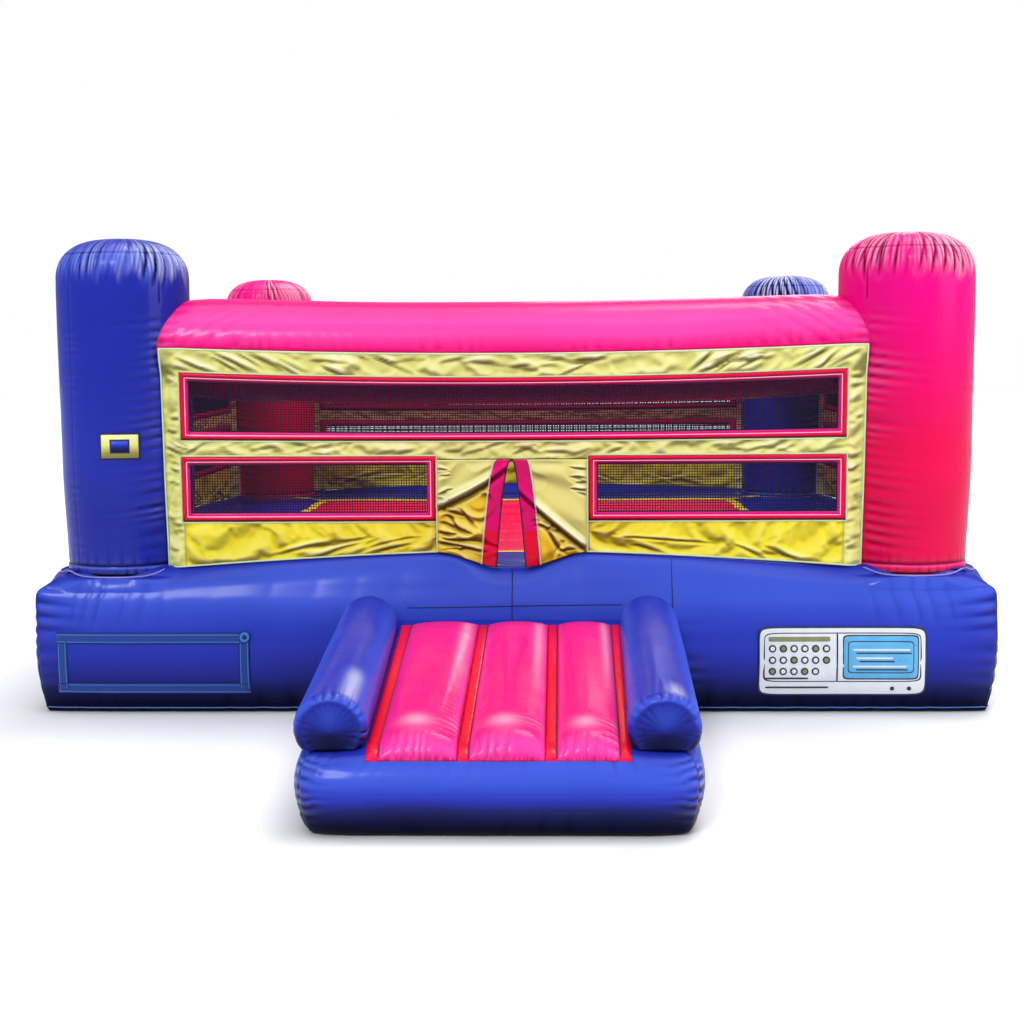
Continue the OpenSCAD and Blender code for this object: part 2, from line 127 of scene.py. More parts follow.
def seam_folds(along, away, pitch, depth, reach, seed):
    """Inward push of the small folds beside a seam, with no push on the seam itself"""
    strength = 0.55 + 0.75 * noise(along / pitch * 0.37, 7.7, seed=seed + 1)
    t = np.clip(away, 0, None) / (reach * (0.75 + 0.45 * noise(along / pitch * 0.5, 1.3, seed=seed + 2)))
    away_from_seam = 2.3 * t ** 0.7 * np.exp(-1.6 * t)
    return depth * np.clip(strength, 0.08, None) * (1 - gathers(along, pitch, seed)) * away_from_seam


def drape(x, z, tilt, length, pitch, seed):
    """Long soft folds along the direction tilt, as in slack sheet; about -1 to 1"""
    along = x * np.cos(tilt) + z * np.sin(tilt)
    across = -x * np.sin(tilt) + z * np.cos(tilt)
    across = across + 0.45 * pitch * noise(along / length * 1.7, across / pitch * 0.4, seed=seed + 9)
    soft = noise(along / length, across / pitch, seed=seed)
    sharp = 1 - 2.4 * np.abs(noise(along / length * 0.8, across / pitch * 0.7, 5.0, seed=seed + 3))
    return 0.6 * soft + 0.4 * sharp


def strokes(x, z, folds):
    """Single folds on a sheet, each (x, z, tilt, length, width, depth, bend): a bent valley, deepest in its
    middle, with a round crest along its upper side. Gives the outward push and the valleys' painted shade"""
    push, dark = np.zeros(np.shape(x)), np.zeros(np.shape(x))
    for at_x, at_z, tilt, length, width, depth, bend in folds:
        u = ((x - at_x) * np.cos(tilt) + (z - at_z) * np.sin(tilt)) * 2 / length
        v = -(x - at_x) * np.sin(tilt) + (z - at_z) * np.cos(tilt) + bend * length * np.sin(2.2 * u)
        lasting = np.clip(1 - u * u, 0, 1)
        w = width * (0.35 + 0.65 * lasting)
        valley = lasting * np.exp(-(v / w) ** 2)
        push += depth * (0.8 * lasting * np.exp(-((v - 2.0 * w) / (1.5 * w)) ** 2) - valley)
        dark = np.maximum(dark, valley * np.clip(depth / 0.010, 0.3, 1))
    return push, dark


def scattered(count, x_range, z_range, tilt, length, width, depth, seed):
    """Folds for strokes() spread at random in a field; tilt is a function of x"""
    rng = np.random.default_rng(seed)
    folds = []
    for _ in range(count):
        x, z = rng.uniform(*x_range), rng.uniform(*z_range)
        size = rng.uniform(0.55, 1.3)
        folds.append((x, z, tilt(x) + rng.normal(0, 0.12), size * length, width * rng.uniform(0.7, 1.3),
                      depth * rng.uniform(0.5, 1.2), rng.uniform(-0.05, 0.05)))
    return folds


# ---------- mesh making ----------

def patch(points, wrap_u=False, wrap_v=False, slot=0, painted_shade_and_seams=None, keep=None, painted_highlight=None):
    """A grid of points as faces; keep is a mask of the cells to keep"""
    points = np.asarray(points, float)
    nu, nv = points.shape[:2]
    i = np.arange(nu if wrap_u else nu - 1)
    j = np.arange(nv if wrap_v else nv - 1)
    i, j = np.meshgrid(i, j, indexing="ij")
    i2, j2 = (i + 1) % nu, (j + 1) % nv
    faces = np.stack([i * nv + j, i2 * nv + j, i2 * nv + j2, i * nv + j2], -1)
    faces = faces[keep] if keep is not None else faces.reshape(-1, 4)
    # point values for the vinyl: painted shade with dark seam lines, and painted highlights
    painted_shade_and_seams = np.zeros((nu, nv)) if painted_shade_and_seams is None else painted_shade_and_seams
    painted_highlight = np.zeros((nu, nv)) if painted_highlight is None else painted_highlight
    return {"points": points.reshape(-1, 3), "faces": faces, "slot": slot, "painted_shade_and_seams": painted_shade_and_seams.reshape(-1),
            "painted_highlight": painted_highlight.reshape(-1)}


def build(name, patches, materials, weld=0.0004, smooth=True):
    """One object out of patches that are welded where they touch"""
    mesh = bpy.data.meshes.new(name)
    points = np.concatenate([p["points"] for p in patches])
    shades = {key: np.concatenate([p[key] for p in patches]) for key in ("painted_shade_and_seams", "painted_highlight")}
    starts = np.cumsum([0] + [len(p["points"]) for p in patches])
    faces = np.concatenate([p["faces"] + s for p, s in zip(patches, starts)])
    slots = np.concatenate([np.broadcast_to(p["slot"], len(p["faces"])) for p in patches])
    mesh.vertices.add(len(points))
    mesh.vertices.foreach_set("co", points.astype(np.float32).ravel())
    mesh.loops.add(faces.size)
    mesh.loops.foreach_set("vertex_index", faces.astype(np.int32).ravel())
    mesh.polygons.add(len(faces))
    mesh.polygons.foreach_set("loop_start", np.arange(0, faces.size, 4, dtype=np.int32))
    mesh.polygons.foreach_set("material_index", slots.astype(np.int32))
    mesh.update(calc_edges=True)
    for key, values in shades.items():
        values = np.clip(values, 0, 1).astype(np.float32)
        mesh.attributes.new(key, "FLOAT", "POINT").data.foreach_set("value", values)
    bm = bmesh.new()
    bm.from_mesh(mesh)
    if weld:
        bmesh.ops.remove_doubles(bm, verts=bm.verts, dist=weld)
        bmesh.ops.dissolve_degenerate(bm, edges=bm.edges, dist=1e-6)
    loose = [v for v in bm.verts if not v.link_faces]
    bmesh.ops.delete(bm, geom=loose, context="VERTS")
    bmesh.ops.recalc_face_normals(bm, faces=bm.faces)
    bm.to_mesh(mesh)
    bm.free()
    mesh.polygons.foreach_set("use_smooth", np.full(len(mesh.polygons), smooth))
    for m in materials:
        mesh.materials.append(m)
    obj = bpy.data.objects.new(name, mesh)
    bpy.context.scene.collection.objects.link(obj)
    return obj


def tube_patch(path, radius, sides=8, closed=False, slot=0, flat=1.0):
    """A tube round a path of points"""
    path = np.asarray(path, float)
    ahead = np.roll(path, -1, 0) - np.roll(path, 1, 0)
    if not closed:
        ahead[0], ahead[-1] = path[1] - path[0], path[-1] - path[-2]
    ahead /= np.linalg.norm(ahead, axis=1)[:, None]
    up = np.tile([0.0, 0.0, 1.0], (len(path), 1))
    steep = np.abs(ahead[:, 2]) > 0.9
    up[steep] = [0.0, 1.0, 0.0]
    side = np.cross(ahead, up)
    side /= np.linalg.norm(side, axis=1)[:, None]
    up = np.cross(side, ahead)
    a = ring_angles(sides)
    ring = (np.cos(a)[None, :, None] * side[:, None] + flat * np.sin(a)[None, :, None] * up[:, None]) * radius
    return patch(path[:, None] + ring, wrap_u=closed, wrap_v=True, slot=slot)


def turned(points, side):
    """Points of the front moved to side 0 front, 1 right, 2 back or 3 left"""
    c, s = [(1, 0), (0, 1), (-1, 0), (0, -1)][side]
    out = np.array(points, float)
    out[..., 0] = c * points[..., 0] - s * points[..., 1]
    out[..., 1] = s * points[..., 0] + c * points[..., 1]
    return out


def normals_of(grid, wrap_u=False, wrap_v=False):
    """Unit normals of a grid of points, by its neighbours' differences"""
    def step(axis, wrap):
        if wrap:
            return np.roll(grid, -1, axis) - np.roll(grid, 1, axis)
        return np.gradient(grid, axis=axis)
    n = np.cross(step(0, wrap_u), step(1, wrap_v))
    return n / np.maximum(np.linalg.norm(n, axis=-1), 1e-9)[..., None]


def blurred(grid, times, wrap=(False, False)):
    """A grid averaged with its neighbours over and over"""
    for _ in range(times):
        for axis in (0, 1):
            if wrap[axis]:
                grid = (np.roll(grid, 1, axis) + 2 * grid + np.roll(grid, -1, axis)) / 4
                continue
            pad = np.pad(grid, [(1, 1) if a == axis else (0, 0) for a in (0, 1)], mode="edge")
            low, high = (pad[:-2], pad[2:]) if axis == 0 else (pad[:, :-2], pad[:, 2:])
            grid = (low + 2 * grid + high) / 4
    return grid


def fold_shades(out, depth, times=5, wrap=(False, False)):
    """Painted shade for the valleys and painted highlights for the crests of an outward displacement"""
    fine = out - blurred(out, times, wrap)
    return np.clip(-fine / depth, 0, 1) ** 1.2, np.clip(fine / depth, 0, 1) ** 1.4


CLOTH = {"quality": 5, "mass": 0.12, "tension_stiffness": 22, "compression_stiffness": 22, "shear_stiffness": 9,
         "bending_stiffness": 0.5, "air_damping": 2.5}
CLOTH_FRAMES = 8
CLOTH_GRAVITY = 0.15    # share of gravity, since the sheet starts close to where it hangs
CLOTH_SLACK = 0.012     # share of cloth beyond what the flat wall needs


def slackened(points, keep, pinned):
    """A sheet of a little too much cloth, held where pinned is true, after it has crumpled"""
    sheet = build("slack", [patch(points, keep=keep)], [], weld=0)
    kept = np.zeros(points.shape[:2], bool)
    for di in (slice(0, -1), slice(1, None)):
        for dj in (slice(0, -1), slice(1, None)):
            kept[di, dj] |= keep
    held = sheet.vertex_groups.new(name="held")
    order = np.flatnonzero(pinned.reshape(-1)[kept.reshape(-1)])
    held.add(order.tolist(), 1.0, "REPLACE")
    cloth = sheet.modifiers.new("cloth", "CLOTH")
    for key, value in CLOTH.items():
        setattr(cloth.settings, key, value)
    cloth.settings.shrink_min = -CLOTH_SLACK
    cloth.settings.vertex_group_mass = "held"
    cloth.settings.effector_weights.gravity = CLOTH_GRAVITY
    cloth.collision_settings.use_collision = False
    cloth.point_cache.frame_start = 1
    cloth.point_cache.frame_end = CLOTH_FRAMES
    scene = bpy.context.scene
    for f in range(1, CLOTH_FRAMES + 1):
        scene.frame_set(f)
    done = sheet.evaluated_get(bpy.context.evaluated_depsgraph_get()).data
    moved = np.empty(len(done.vertices) * 3, np.float32)
    done.vertices.foreach_get("co", moved)
    scene.frame_set(1)
    bpy.data.objects.remove(sheet)
    out = points.copy()
    out[kept] = moved.reshape(-1, 3)
    return out


def place(piece, slot, *nodes, body=BOUNCER):
    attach(piece, body)
    if nodes:
        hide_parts(*nodes)
    return piece


def place_padded(name, patches, materials, slot, node_name, weld=0.0004):
    """An inflated skin: built and riding on the bouncer"""
    piece = build(name, patches, materials, weld)
    place(piece, slot, node_name)


def thicken(piece, thickness):
    solid = piece.modifiers.new("thickness", "SOLIDIFY")
    solid.thickness = thickness


# ---------- materials ----------

def shade(name, colour, roughness):
    """A material with its principled shader and the helpers that every one here uses"""
    m = bpy.data.materials.new(name)
    m.use_nodes = True
    tree = m.node_tree
    shader = tree.nodes["Principled BSDF"]
    shader.inputs["Base Color"].default_value = (*colour, 1)
    shader.inputs["Roughness"].default_value = roughness
    return m, tree, shader


def link(tree, a, b):
    tree.links.new(a, b)


def node(tree, kind, **values):
    n = tree.nodes.new(kind)
    for key, value in values.items():
        if key in n.inputs:
            n.inputs[key].default_value = value
        else:
            setattr(n, key, value)
    return n


def noise_node(tree, scale, detail=3.0, rough=0.5, stretch=(1, 1, 1)):
    where = node(tree, "ShaderNodeTexCoord")
    mapping = node(tree, "ShaderNodeMapping")
    mapping.inputs["Scale"].default_value = stretch
    n = node(tree, "ShaderNodeTexNoise")
    n.inputs["Scale"].default_value = scale
    n.inputs["Detail"].default_value = detail
    n.inputs["Roughness"].default_value = rough
    link(tree, where.outputs["Object"], mapping.inputs["Vector"])
    link(tree, mapping.outputs["Vector"], n.inputs["Vector"])
    return n.outputs["Fac"]


def ramp(tree, value, stops):
    r = node(tree, "ShaderNodeValToRGB")
    elements = r.color_ramp.elements
    while len(elements) < len(stops):
        elements.new(0.5)
    for e, (at, colour) in zip(elements, stops):
        e.position = at
        e.color = (*colour, 1) if len(colour) == 3 else colour
    link(tree, value, r.inputs["Fac"])
    return r.outputs["Color"]


def mix(tree, share, a, b, mode="MIX"):
    m = node(tree, "ShaderNodeMix", data_type="RGBA", blend_type=mode)
    for value, key in ((share, 0), (a, 6), (b, 7)):
        if isinstance(value, (float, int)):
            m.inputs[key].default_value = value
        elif isinstance(value, tuple):
            m.inputs[key].default_value = (*value, 1)
        else:
            link(tree, value, m.inputs[key])
    return m.outputs[2]


def bumps(tree, shader, layers):
    """Stacked bump: each layer is (height output, strength, distance)"""
    last = None
    for height, strength, distance in layers:
        b = node(tree, "ShaderNodeBump")
        b.inputs["Strength"].default_value = strength
        b.inputs["Distance"].default_value = distance
        link(tree, height, b.inputs["Height"])
        if last:
            link(tree, last, b.inputs["Normal"])
        last = b.outputs["Normal"]
    link(tree, last, shader.inputs["Normal"])


# painted light of the vinyls: shade colour facing down, up colour as painted highlight where a skin leans back
LEAN_STOPS = (0.22, 0.41, 0.52, 0.67, 0.80, 0.94)  # from facing down to facing up, with upright at a half
HIGH_FROM, HIGH_TO, HIGH_SHARE = 1.25, 2.05, 0.9   # heights between which a skin turns to its upper colour, a painted sky reflection
MAP_RANGE = ("From Min", "From Max", "To Min", "To Max")
GLINT = 0.05
STAINS = 0.06


def vinyl(name, base, up, shade_colour, rough=(0.32, 0.46), coat=0.22, high=None):
    """PVC-coated fabric: painted highlight where it leans back, painted shade underneath and in its folds, with a
    woven scrim under the coat; high is the colour that it turns to with height, as a painted sky reflection"""
    m, tree, shader = shade(name, base, sum(rough) / 2)
    # painted light and shade by the way the skin faces
    facing = node(tree, "ShaderNodeNewGeometry")
    split = node(tree, "ShaderNodeSeparateXYZ")
    link(tree, facing.outputs["Normal"], split.inputs["Vector"])
    lean = node(tree, "ShaderNodeMapRange")
    lean.inputs["From Min"].default_value = -1.0
    link(tree, split.outputs["Z"], lean.inputs["Value"])
    under = tuple(0.30 * a + 0.70 * b for a, b in zip(base, shade_colour))
    colour = ramp(tree, lean.outputs["Result"], list(zip(LEAN_STOPS, (shade_colour, under, base, up, up, base))))
    cloudy = ramp(tree, noise_node(tree, 2.2, 4.0, 0.55),
                  [(0.28, (1 - STAINS,) * 3), (0.5, (1.0,) * 3), (0.75, (1 + STAINS,) * 3)])
    colour = mix(tree, 1.0, colour, cloudy, "MULTIPLY")
    # painted sky reflection that grows with height
    if high:
        place_in = node(tree, "ShaderNodeSeparateXYZ")
        link(tree, node(tree, "ShaderNodeTexCoord").outputs["Object"], place_in.inputs["Vector"])
        upper = node(tree, "ShaderNodeMapRange")
        for key, value in zip(MAP_RANGE, (HIGH_FROM, HIGH_TO, 0.0, HIGH_SHARE)):
            upper.inputs[key].default_value = value
        link(tree, place_in.outputs["Z"], upper.inputs["Value"])
        colour = mix(tree, upper.outputs["Result"], colour, high)
    # painted highlights on fold tops and painted highlight patches, from the point values
    painted_highlight = node(tree, "ShaderNodeAttribute", attribute_name="painted_highlight")
    colour = mix(tree, painted_highlight.outputs["Fac"], colour, tuple(min(1.0, 0.4 * c + 0.6) for c in up))
    # painted shade in folds, underneath and near the ground, with dark seam lines, from the point values
    painted_shade_and_seams = node(tree, "ShaderNodeAttribute", attribute_name="painted_shade_and_seams")
    colour = mix(tree, painted_shade_and_seams.outputs["Fac"], colour, shade_colour)
    link(tree, colour, shader.inputs["Base Color"])
    gloss = node(tree, "ShaderNodeMapRange")
    for key, value in zip(MAP_RANGE, (0.35, 0.7, *rough)):
        gloss.inputs[key].default_value = value
    link(tree, noise_node(tree, 5.0, 5.0, 0.6), gloss.inputs["Value"])
    link(tree, gloss.outputs["Result"], shader.inputs["Roughness"])
    shader.inputs["Specular IOR Level"].default_value = GLINT
    shader.inputs["Coat Roughness"].default_value = 0.16
    # the coat thins where the painted shade is, so the folds lose their reflections too
    coat_thinned_in_shade = node(tree, "ShaderNodeMapRange")
    coat_thinned_in_shade.inputs["To Min"].default_value = coat
    coat_thinned_in_shade.inputs["To Max"].default_value = 0.0
    link(tree, painted_shade_and_seams.outputs["Fac"], coat_thinned_in_shade.inputs["Value"])
    link(tree, coat_thinned_in_shade.outputs["Result"], shader.inputs["Coat Weight"])
    weave = [node(tree, "ShaderNodeTexWave", bands_direction=d) for d in ("X", "Z")]
    where = node(tree, "ShaderNodeTexCoord")
    cloth = node(tree, "ShaderNodeMath", operation="ADD")
    for k, w in enumerate(weave):
        w.inputs["Scale"].default_value = 180.0
        link(tree, where.outputs["Object"], w.inputs["Vector"])
        link(tree, w.outputs["Fac"], cloth.inputs[k])
    bumps(tree, shader, [(noise_node(tree, 3.0, 3.0, 0.5), 0.25, 0.02),
                         (noise_node(tree, 26.0, 4.0, 0.6), 0.15, 0.003),
                         (cloth.outputs["Value"], 0.10, 0.0005)])
    return m


def plain(name, colour, roughness, grain=60.0, depth=0.0008, metallic=0.0, spread=0.25):
    """Moulded, painted or metal: a broken-up colour and roughness with a fine grain"""
    m, tree, shader = shade(name, colour, roughness)
    dim = tuple(c * (1 - spread) for c in colour)
    bright = tuple(min(1.0, c * (1 + spread)) for c in colour)
    patchy = noise_node(tree, 14.0, 5.0, 0.6)
    link(tree, ramp(tree, patchy, [(0.3, dim), (0.5, colour), (0.75, bright)]), shader.inputs["Base Color"])
    gloss = node(tree, "ShaderNodeMapRange")
    for key, value in zip(("From Min", "From Max", "To Min", "To Max"),
                          (0.3, 0.7, max(0.05, roughness - 0.1), roughness + 0.12)):
        gloss.inputs[key].default_value = value
    link(tree, patchy, gloss.inputs["Value"])
    link(tree, gloss.outputs["Result"], shader.inputs["Roughness"])
    shader.inputs["Metallic"].default_value = metallic
    bumps(tree, shader, [(noise_node(tree, grain, 4.0, 0.6), 0.35, depth)])
    return m


def webbing(name, colour, scale=220.0):
    """Woven tape with a rib across it"""
    m, tree, shader = shade(name, colour, 0.8)
    where = node(tree, "ShaderNodeTexCoord")
    ribs = node(tree, "ShaderNodeTexWave", bands_direction="DIAGONAL")
    ribs.inputs["Scale"].default_value = scale
    ribs.inputs["Distortion"].default_value = 1.5
    link(tree, where.outputs["Object"], ribs.inputs["Vector"])
    dim = tuple(c * 0.6 for c in colour)
    link(tree, mix(tree, ribs.outputs["Fac"], dim, colour), shader.inputs["Base Color"])
    shader.inputs["Sheen Weight"].default_value = 0.2
    bumps(tree, shader, [(ribs.outputs["Fac"], 0.5, 0.0008)])
    return m


BLUE = vinyl("vinyl_blue", (0.014, 0.026, 0.40), (0.044, 0.088, 0.60), (0.001, 0.001, 0.018))
# the pink turns magenta towards the top, as a painted sky reflection
PINK = vinyl("vinyl_pink", (0.84, 0.001, 0.075), (0.92, 0.012, 0.24), (0.16, 0.000, 0.016), coat=0.12,
             high=(0.84, 0.001, 0.25))
# beams and ramp channels: pinks with more blue than the columns' pink, as painted sky light
SKYLIT_PINK_BEAM = vinyl("vinyl_pink_skylit_beam", (0.86, 0.003, 0.19), (0.94, 0.055, 0.37), (0.24, 0.000, 0.045))
SKYLIT_PINK_CHANNEL = vinyl("vinyl_pink_skylit_channel", (0.90, 0.004, 0.19), (0.93, 0.045, 0.36), (0.30, 0.000, 0.05))
RED = vinyl("vinyl_red", (0.78, 0.000, 0.030), (0.84, 0.004, 0.07), (0.10, 0.000, 0.010))
MAGENTA = vinyl("vinyl_magenta", (0.72, 0.000, 0.14), (0.82, 0.004, 0.20), (0.10, 0.000, 0.02))
YELLOW = vinyl("vinyl_yellow", (0.92, 0.76, 0.030), (0.95, 0.84, 0.12), (0.10, 0.055, 0.003),
               rough=(0.36, 0.52), coat=0.10)
PALE = vinyl("vinyl_yellow_pale", (0.80, 0.78, 0.23), (0.92, 0.92, 0.48), (0.10, 0.08, 0.012),
             rough=(0.36, 0.52), coat=0.10)
# a darker yellow for the flaps below their fold, as painted shade
SHADED_YELLOW = vinyl("vinyl_yellow_shaded", (0.86, 0.60, 0.020), (0.94, 0.78, 0.12), (0.12, 0.05, 0.002),
              rough=(0.36, 0.52), coat=0.10)
# a pale pink line along the window bindings, as a painted highlight
PAINTED_GLEAM = plain("tape_painted_gleam", (0.95, 0.55, 0.72), 0.3, spread=0.05)
BLUE_CORD = plain("piping_blue", (0.06, 0.17, 0.55), 0.4, spread=0.1)
VIOLET = plain("piping_violet", (0.26, 0.24, 0.62), 0.4, spread=0.1)
PIPING = plain("piping_cream", (0.62, 0.78, 0.48), 0.45, spread=0.1)
NET = plain("net_navy", (0.010, 0.004, 0.026), 0.85, spread=0.3)
THREAD = plain("thread_dark", (0.01, 0.012, 0.06), 0.8)
STRIP = webbing("hook_strip_blue", (0.005, 0.045, 0.33), 160.0)
STRIP_EDGE = webbing("hook_strip_edge", (0.030, 0.22, 0.78), 160.0)
SIGN = plain("sign_white", (0.72, 0.76, 0.80), 0.35, spread=0.06)
SIGN_BLUE = plain("sign_blue", (0.10, 0.42, 0.74), 0.35, spread=0.12)
SIGN_DARK = plain("sign_dark", (0.012, 0.016, 0.03), 0.4)
SIGN_OLIVE = plain("sign_olive", (0.22, 0.24, 0.10), 0.4, spread=0.15)
STRAP = webbing("strap_black", (0.02, 0.02, 0.024))
STEEL = plain("ring_zinc", (0.62, 0.62, 0.64), 0.32, grain=120.0, depth=0.0003, metallic=1.0, spread=0.12)
WEB = webbing("web_white", (0.72, 0.72, 0.70), 120.0)
ZIP = webbing("zip_tape", (0.012, 0.016, 0.07), 260.0)
ORANGE = plain("fan_orange", (0.75, 0.16, 0.012), 0.42, grain=220.0, depth=0.0005, spread=0.12)
BLACK_STEEL = plain("fan_dark", (0.02, 0.02, 0.023), 0.45, grain=180.0, depth=0.0004)
ALUMINIUM = plain("fan_wheel", (0.72, 0.72, 0.74), 0.35, metallic=1.0, spread=0.1)
RUBBER = plain("rubber_black", (0.012, 0.012, 0.013), 0.75, grain=90.0)
SWITCH = plain("switch_red", (0.6, 0.01, 0.012), 0.3, spread=0.08)
GRIP = plain("grip_black", (0.018, 0.018, 0.02), 0.55, grain=200.0)

CAD_LOOKS = {
    "base_baffles": WEB, "anchor_patches": BLUE, "anchor_straps": STRAP, "tube_strap": STRAP,
    "zip_tape": ZIP, "zip_slider": STEEL, "fan_housing": ORANGE, "fan_cover": ORANGE,
    "fan_grille": BLACK_STEEL, "fan_impeller": ALUMINIUM, "fan_motor": BLACK_STEEL, "fan_switch": SWITCH,
    "fan_handle": GRIP, "fan_feet": RUBBER, "fan_screws": STEEL,
}
CAD_LOOKS.update({f"anchor_ring_{i}": STEEL for i in range(1, 7)})
for name, material in CAD_LOOKS.items():
    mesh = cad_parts[name].data
    mesh.materials.clear()
    mesh.materials.append(material)


# ---------- camera, light and floor ----------

CAMERA_AT = (0.1993, -9.3355, 1.6806)
CAMERA_LENS = 52.78
CAMERA_DOWN = 5.80      # degrees below the horizon
CAMERA_LEFT = 1.60      # degrees to the left of straight on
CAMERA_ROLL = -0.37


def camera():
    data = bpy.data.cameras.new("camera")
    data.sensor_width = 36.0
    data.lens = CAMERA_LENS
    data.clip_end = 200.0
    eye = bpy.data.objects.new("camera", data)
    eye.location = CAMERA_AT
    pitch, yaw, roll = (math.radians(a) for a in (CAMERA_DOWN, CAMERA_LEFT, CAMERA_ROLL))
    eye.rotation_euler = Euler((math.pi / 2 - pitch, 0, yaw), "XYZ")
    eye.rotation_euler = (eye.rotation_euler.to_matrix() @ Euler((0, 0, roll)).to_matrix()).to_euler()
    bpy.context.scene.collection.objects.link(eye)
    bpy.context.scene.camera = eye


def area_light(name, place_at, aim, size, power, colour=(1, 1, 1)):
    data = bpy.data.lights.new(name, "AREA")
    data.shape = "RECTANGLE"
    data.size, data.size_y = size
    data.energy = power
    data.color = colour
    lamp = bpy.data.objects.new(name, data)
    lamp.location = place_at
    away = np.array(place_at, float) - np.array(aim, float)
    flat = math.hypot(away[0], away[1])
    lamp.rotation_euler = (math.atan2(flat, away[2]), 0, math.atan2(away[0], -away[1]))
    bpy.context.scene.collection.objects.link(lamp)


def sun_light(name, towards, strength, spread_deg):
    """Even light from the direction towards, as soft as a disc spread_deg across"""
    data = bpy.data.lights.new(name, "SUN")
    data.energy = strength
    data.angle = math.radians(spread_deg)
    lamp = bpy.data.objects.new(name, data)
    flat = math.hypot(towards[0], towards[1])
    lamp.rotation_euler = (math.atan2(flat, towards[2]), 0, math.atan2(towards[0], -towards[1]))
    bpy.context.scene.collection.objects.link(lamp)


# suns as name, way towards it, strength and spread in degrees; softboxes as name, place, size and power
SUNS = (("sky_soft", (0.10, 0.10, 1.0), 1.7, 60), ("sun_behind", (0.22, 0.32, 0.92), 1.0, 22),
        ("key", (-0.42, -1.0, 0.95), 1.15, 14))
SOFTBOXES = (("fill_right", (9, -6, 4), (5, 4), 200), ("fill_back", (3, 10, 7), (6, 4), 320))
FLOOR_HALF = 60.0
SURROUND_LIGHT = 0.42   # the white surround is dimmer as a lamp than as a backdrop


def studio():
    """Plain soft light: a white surround, broad suns and two softboxes over a pale floor"""
    scene = bpy.context.scene
    scene.view_settings.view_transform = "Standard"
    world = bpy.data.worlds.new("studio")
    scene.world = world
    world.use_nodes = True
    tree = world.node_tree
    seen = tree.nodes["Background"]
    seen.inputs["Color"].default_value = (1.0, 1.0, 1.0, 1)
    seen.inputs["Strength"].default_value = 1.0
    lamp = node(tree, "ShaderNodeBackground")
    lamp.inputs["Color"].default_value = (0.90, 0.94, 1.0, 1)
    lamp.inputs["Strength"].default_value = SURROUND_LIGHT
    path = node(tree, "ShaderNodeLightPath")
    either = node(tree, "ShaderNodeMixShader")
    link(tree, path.outputs["Is Camera Ray"], either.inputs[0])
    link(tree, lamp.outputs[0], either.inputs[1])
    link(tree, seen.outputs[0], either.inputs[2])
    link(tree, either.outputs[0], tree.nodes["World Output"].inputs["Surface"])
    for name, towards, strength, spread_deg in SUNS:
        sun_light(name, towards, strength, spread_deg)
    for name, place_at, size, power in SOFTBOXES:
        area_light(name, place_at, (0, 0, 1), size, power)
    floor_mesh = bpy.data.meshes.new("studio_floor")
    r = FLOOR_HALF
    floor_mesh.from_pydata([(-r, -r, 0), (r, -r, 0), (r, r, 0), (-r, r, 0)], [], [(0, 1, 2, 3)])
    ground = bpy.data.objects.new("studio_floor", floor_mesh)
    ground.location.z = -0.002
    m, tree, shader = shade("studio_floor", (0.84, 0.84, 0.86), 0.9)
    link(tree, ramp(tree, noise_node(tree, 3.0), [(0.3, (0.83, 0.83, 0.85)), (0.7, (0.85, 0.85, 0.87))]),
         shader.inputs["Base Color"])
    shader.inputs["Specular IOR Level"].default_value = 0.1
    floor_mesh.materials.append(m)
    scene.collection.objects.link(ground)


BOW_RISE = 0.080        # how much the base's roll swells up under the front wall's middle
BOW_HALF = 1.65         # and where it ends, beside the columns


def bow(x, side=0):
    """The swelling of the base's roll under a wall; the entry presses it down at the front"""
    far = np.abs(np.asarray(x, float))
    full = BOW_RISE * np.clip(1 - (far / BOW_HALF) ** 1.6, 0, 1)
    return full * ease(0.05, 0.38, far) if side == 0 else 0.6 * full


# ---------- small folds beside the seams: pitch, depth and reach ----------

BASE_CORNER_FOLDS = (0.075, 0.022, 0.11)
BASE_FOOT_FOLDS = (0.13, 0.016, 0.09)
BASE_SEAM_FOLDS = (0.07, 0.009, 0.07)
FLOOR_FOLDS = (0.06, 0.010, 0.045)
COLUMN_SEAM_FOLDS = ((0.050, 0.018, 0.11), (0.050, 0.018, 0.11), (0.050, 0.005, 0.05))
COLUMN_FOOT_FOLDS = (0.06, 0.005, 0.04)
BEAM_END_FOLDS = (0.058, 0.013, 0.085)
BEAM_SEAM_FOLDS = (0.07, 0.006, 0.05)
RAMP_CORNER_FOLDS = (0.034, 0.024, 0.10)
RAMP_FOOT_FOLDS = (0.14, 0.006, 0.07)
RAMP_TOP_FOLDS = (0.07, 0.006, 0.05)
STRIP_FOLDS = (0.05, 0.004, 0.02)
CHANNEL_RIGHT_FOLDS = (0.040, 0.016, 0.050)
CHANNEL_LEFT_FOLDS = (0.055, 0.007, 0.03)
CHANNEL_LOW_FOLDS = (0.034, 0.011, 0.055)
CHANNEL_HIGH_FOLDS = (0.034, 0.007, 0.05)
BOLSTER_LIP_FOLDS = (0.040, 0.022, 0.10)
BOLSTER_TAIL_FOLDS = (0.05, 0.006, 0.08)
TUBE_TIE_FOLDS = (0.04, 0.018, 0.16)
TUBE_ROOT_FOLDS = (0.05, 0.012, 0.09)


# ---------- inflated boxes: the base and the ramp ----------

def spread(n, edge=0.35):
    """Places from -1 to 1, closer together towards the ends"""
    t = np.linspace(-1, 1, n)
    return (1 - edge) * t + edge * np.sin(t * np.pi / 2)


def dome_rise(distance, reach):
    t = np.clip(distance / reach, 0, 1)
    return np.sqrt(np.clip(1 - (1 - t) ** 2, 0, 1))


